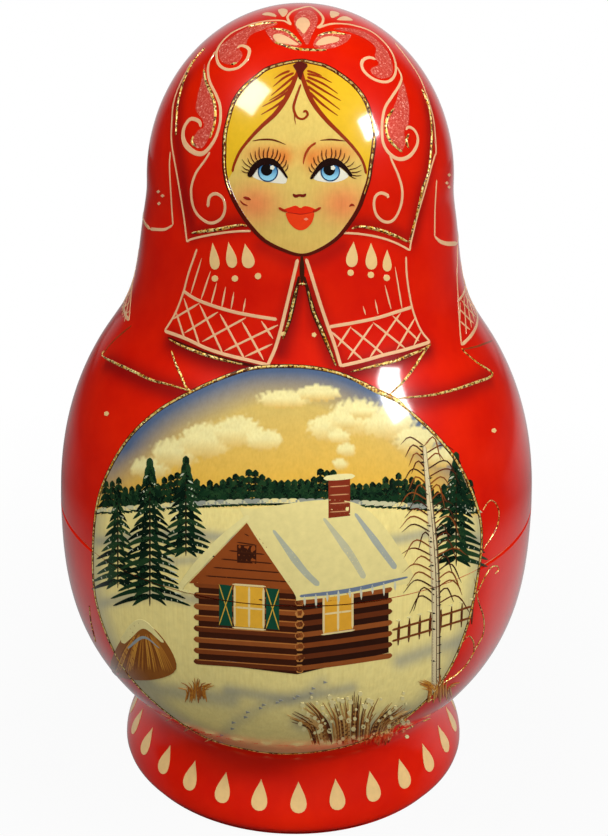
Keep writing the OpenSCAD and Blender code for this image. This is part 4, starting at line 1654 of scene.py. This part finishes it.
def makeFloor():    # white where the camera sees it, greyed near the doll as painted shade, with the doll's real shadow kept beside the foot
    tree = stagePlane("floor", 8, (0, 0, -0.0002))
    shader = tree.nodes["Principled BSDF"]
    shader.inputs["Base Color"].default_value = studio["floor"]
    shader.inputs["Roughness"].default_value = studio["floorRoughness"]
    across, along, away = placeIn(tree)
    beside = combine(tree, "MULTIPLY", between(tree, away, *studio["floorBeside"], 1, 0),
                     between(tree, along, *studio["floorFront"]))
    behind = combine(tree, "MULTIPLY", between(tree, along, *studio["floorBehind"]),
                     between(tree, combine(tree, "ABSOLUTE", across), *studio["floorAside"]))
    sides = between(tree, across, *studio["sides"], studio["floorLeft"], studio["floorRight"])
    strength = combine(tree, "MULTIPLY", combine(tree, "MAXIMUM", beside, behind), sides)
    path = addNode(tree, "ShaderNodeLightPath")
    mirrored = addNode(tree, "ShaderNodeEmission")
    tree.links.new(combine(tree, "MAXIMUM", strength, studio["mirror"]), mirrored.inputs["Strength"])
    inLacquer = mixShaders(tree, path.outputs["Is Glossy Ray"], shader.outputs[0], mirrored.outputs[0])
    shine = addNode(tree, "ShaderNodeEmission")
    # painted shade: near the doll the camera sees less of the white, so the floor greys round the foot
    white = combine(tree, "MULTIPLY", path.outputs["Is Camera Ray"],
                    between(tree, away, *studio["paintedShadeFade"], studio["floorWhiteInPaintedShade"], 1))
    seen = mixShaders(tree, white, inLacquer, shine.outputs[0])
    tree.links.new(seen, tree.nodes["Material Output"].inputs["Surface"])


def makeBackdrop():    # white card behind the doll: it shows only as the pale edges of the lacquer
    tree = stagePlane("backdrop", 4, (0, 0.9, 1.9), (math.pi / 2, 0, 0))
    shine = addNode(tree, "ShaderNodeEmission")
    across, up = placeIn(tree)[:2]
    middle = combine(tree, "MULTIPLY", between(tree, up, *studio["cardUp"]),
                     between(tree, combine(tree, "ABSOLUTE", across), *studio["cardAside"]))
    sides = between(tree, across, *studio["sides"], studio["backdropLeft"], studio["backdropRight"])
    strength = combine(tree, "MULTIPLY", middle, sides)
    path = addNode(tree, "ShaderNodeLightPath")
    tree.links.new(combine(tree, "MAXIMUM", path.outputs["Is Camera Ray"], strength),
                   shine.inputs["Strength"])
    tree.links.new(shine.outputs[0], tree.nodes["Material Output"].inputs["Surface"])


def makeWorld():    # white to the camera, soft on matt surfaces, nearly black in the lacquer
    world = bpy.data.worlds.new("studio_white")
    bpy.context.scene.world = world
    world.use_nodes = True
    tree = world.node_tree
    background = tree.nodes["Background"]
    background.inputs["Color"].default_value = (1, 1, 1, 1)
    toward = addNode(tree, "ShaderNodeVectorMath", operation="DOT_PRODUCT")
    tree.links.new(addNode(tree, "ShaderNodeTexCoord").outputs["Generated"], toward.inputs[0])
    toward.inputs[1].default_value = studio["bright"]
    soft = between(tree, toward.outputs["Value"], 0, 1, *studio["fill"])
    path = addNode(tree, "ShaderNodeLightPath")
    matt = combine(tree, "SUBTRACT", 1, path.outputs["Is Glossy Ray"])
    lit = combine(tree, "MAXIMUM", combine(tree, "MULTIPLY", soft, matt), studio["mirror"])
    tree.links.new(combine(tree, "MAXIMUM", lit, path.outputs["Is Camera Ray"]),
                   background.inputs["Strength"])


def makeCamera():
    data = bpy.data.cameras.new("photo_eye")
    data.lens = eye["lens"]
    data.sensor_width = eye["sensor"]
    data.shift_x = (eye["picture"][0] / 2 - eye["axisPixel"]) / eye["picture"][1]
    data.clip_start = 0.01
    camera = bpy.data.objects.new("photo_eye", data)
    tilt = Euler((math.radians(90 - eye["pitch"]), 0, 0)).to_matrix()
    camera.rotation_euler = (tilt @ Matrix.Rotation(math.radians(eye["roll"]), 3, "Z")).to_euler()
    camera.location = eyePlace * mm
    bpy.context.scene.collection.objects.link(camera)
    bpy.context.scene.camera = camera


makeFloor()
makeBackdrop()
makeWorld()
makeCamera()
aim = np.array([0, 0, dollHeight * studio["aim"]]) * mm
for side in ("left", "right"):
    softbox("softbox_" + side, studio[side], aim)
bpy.context.scene.view_settings.view_transform = "Standard"
print("stage set")
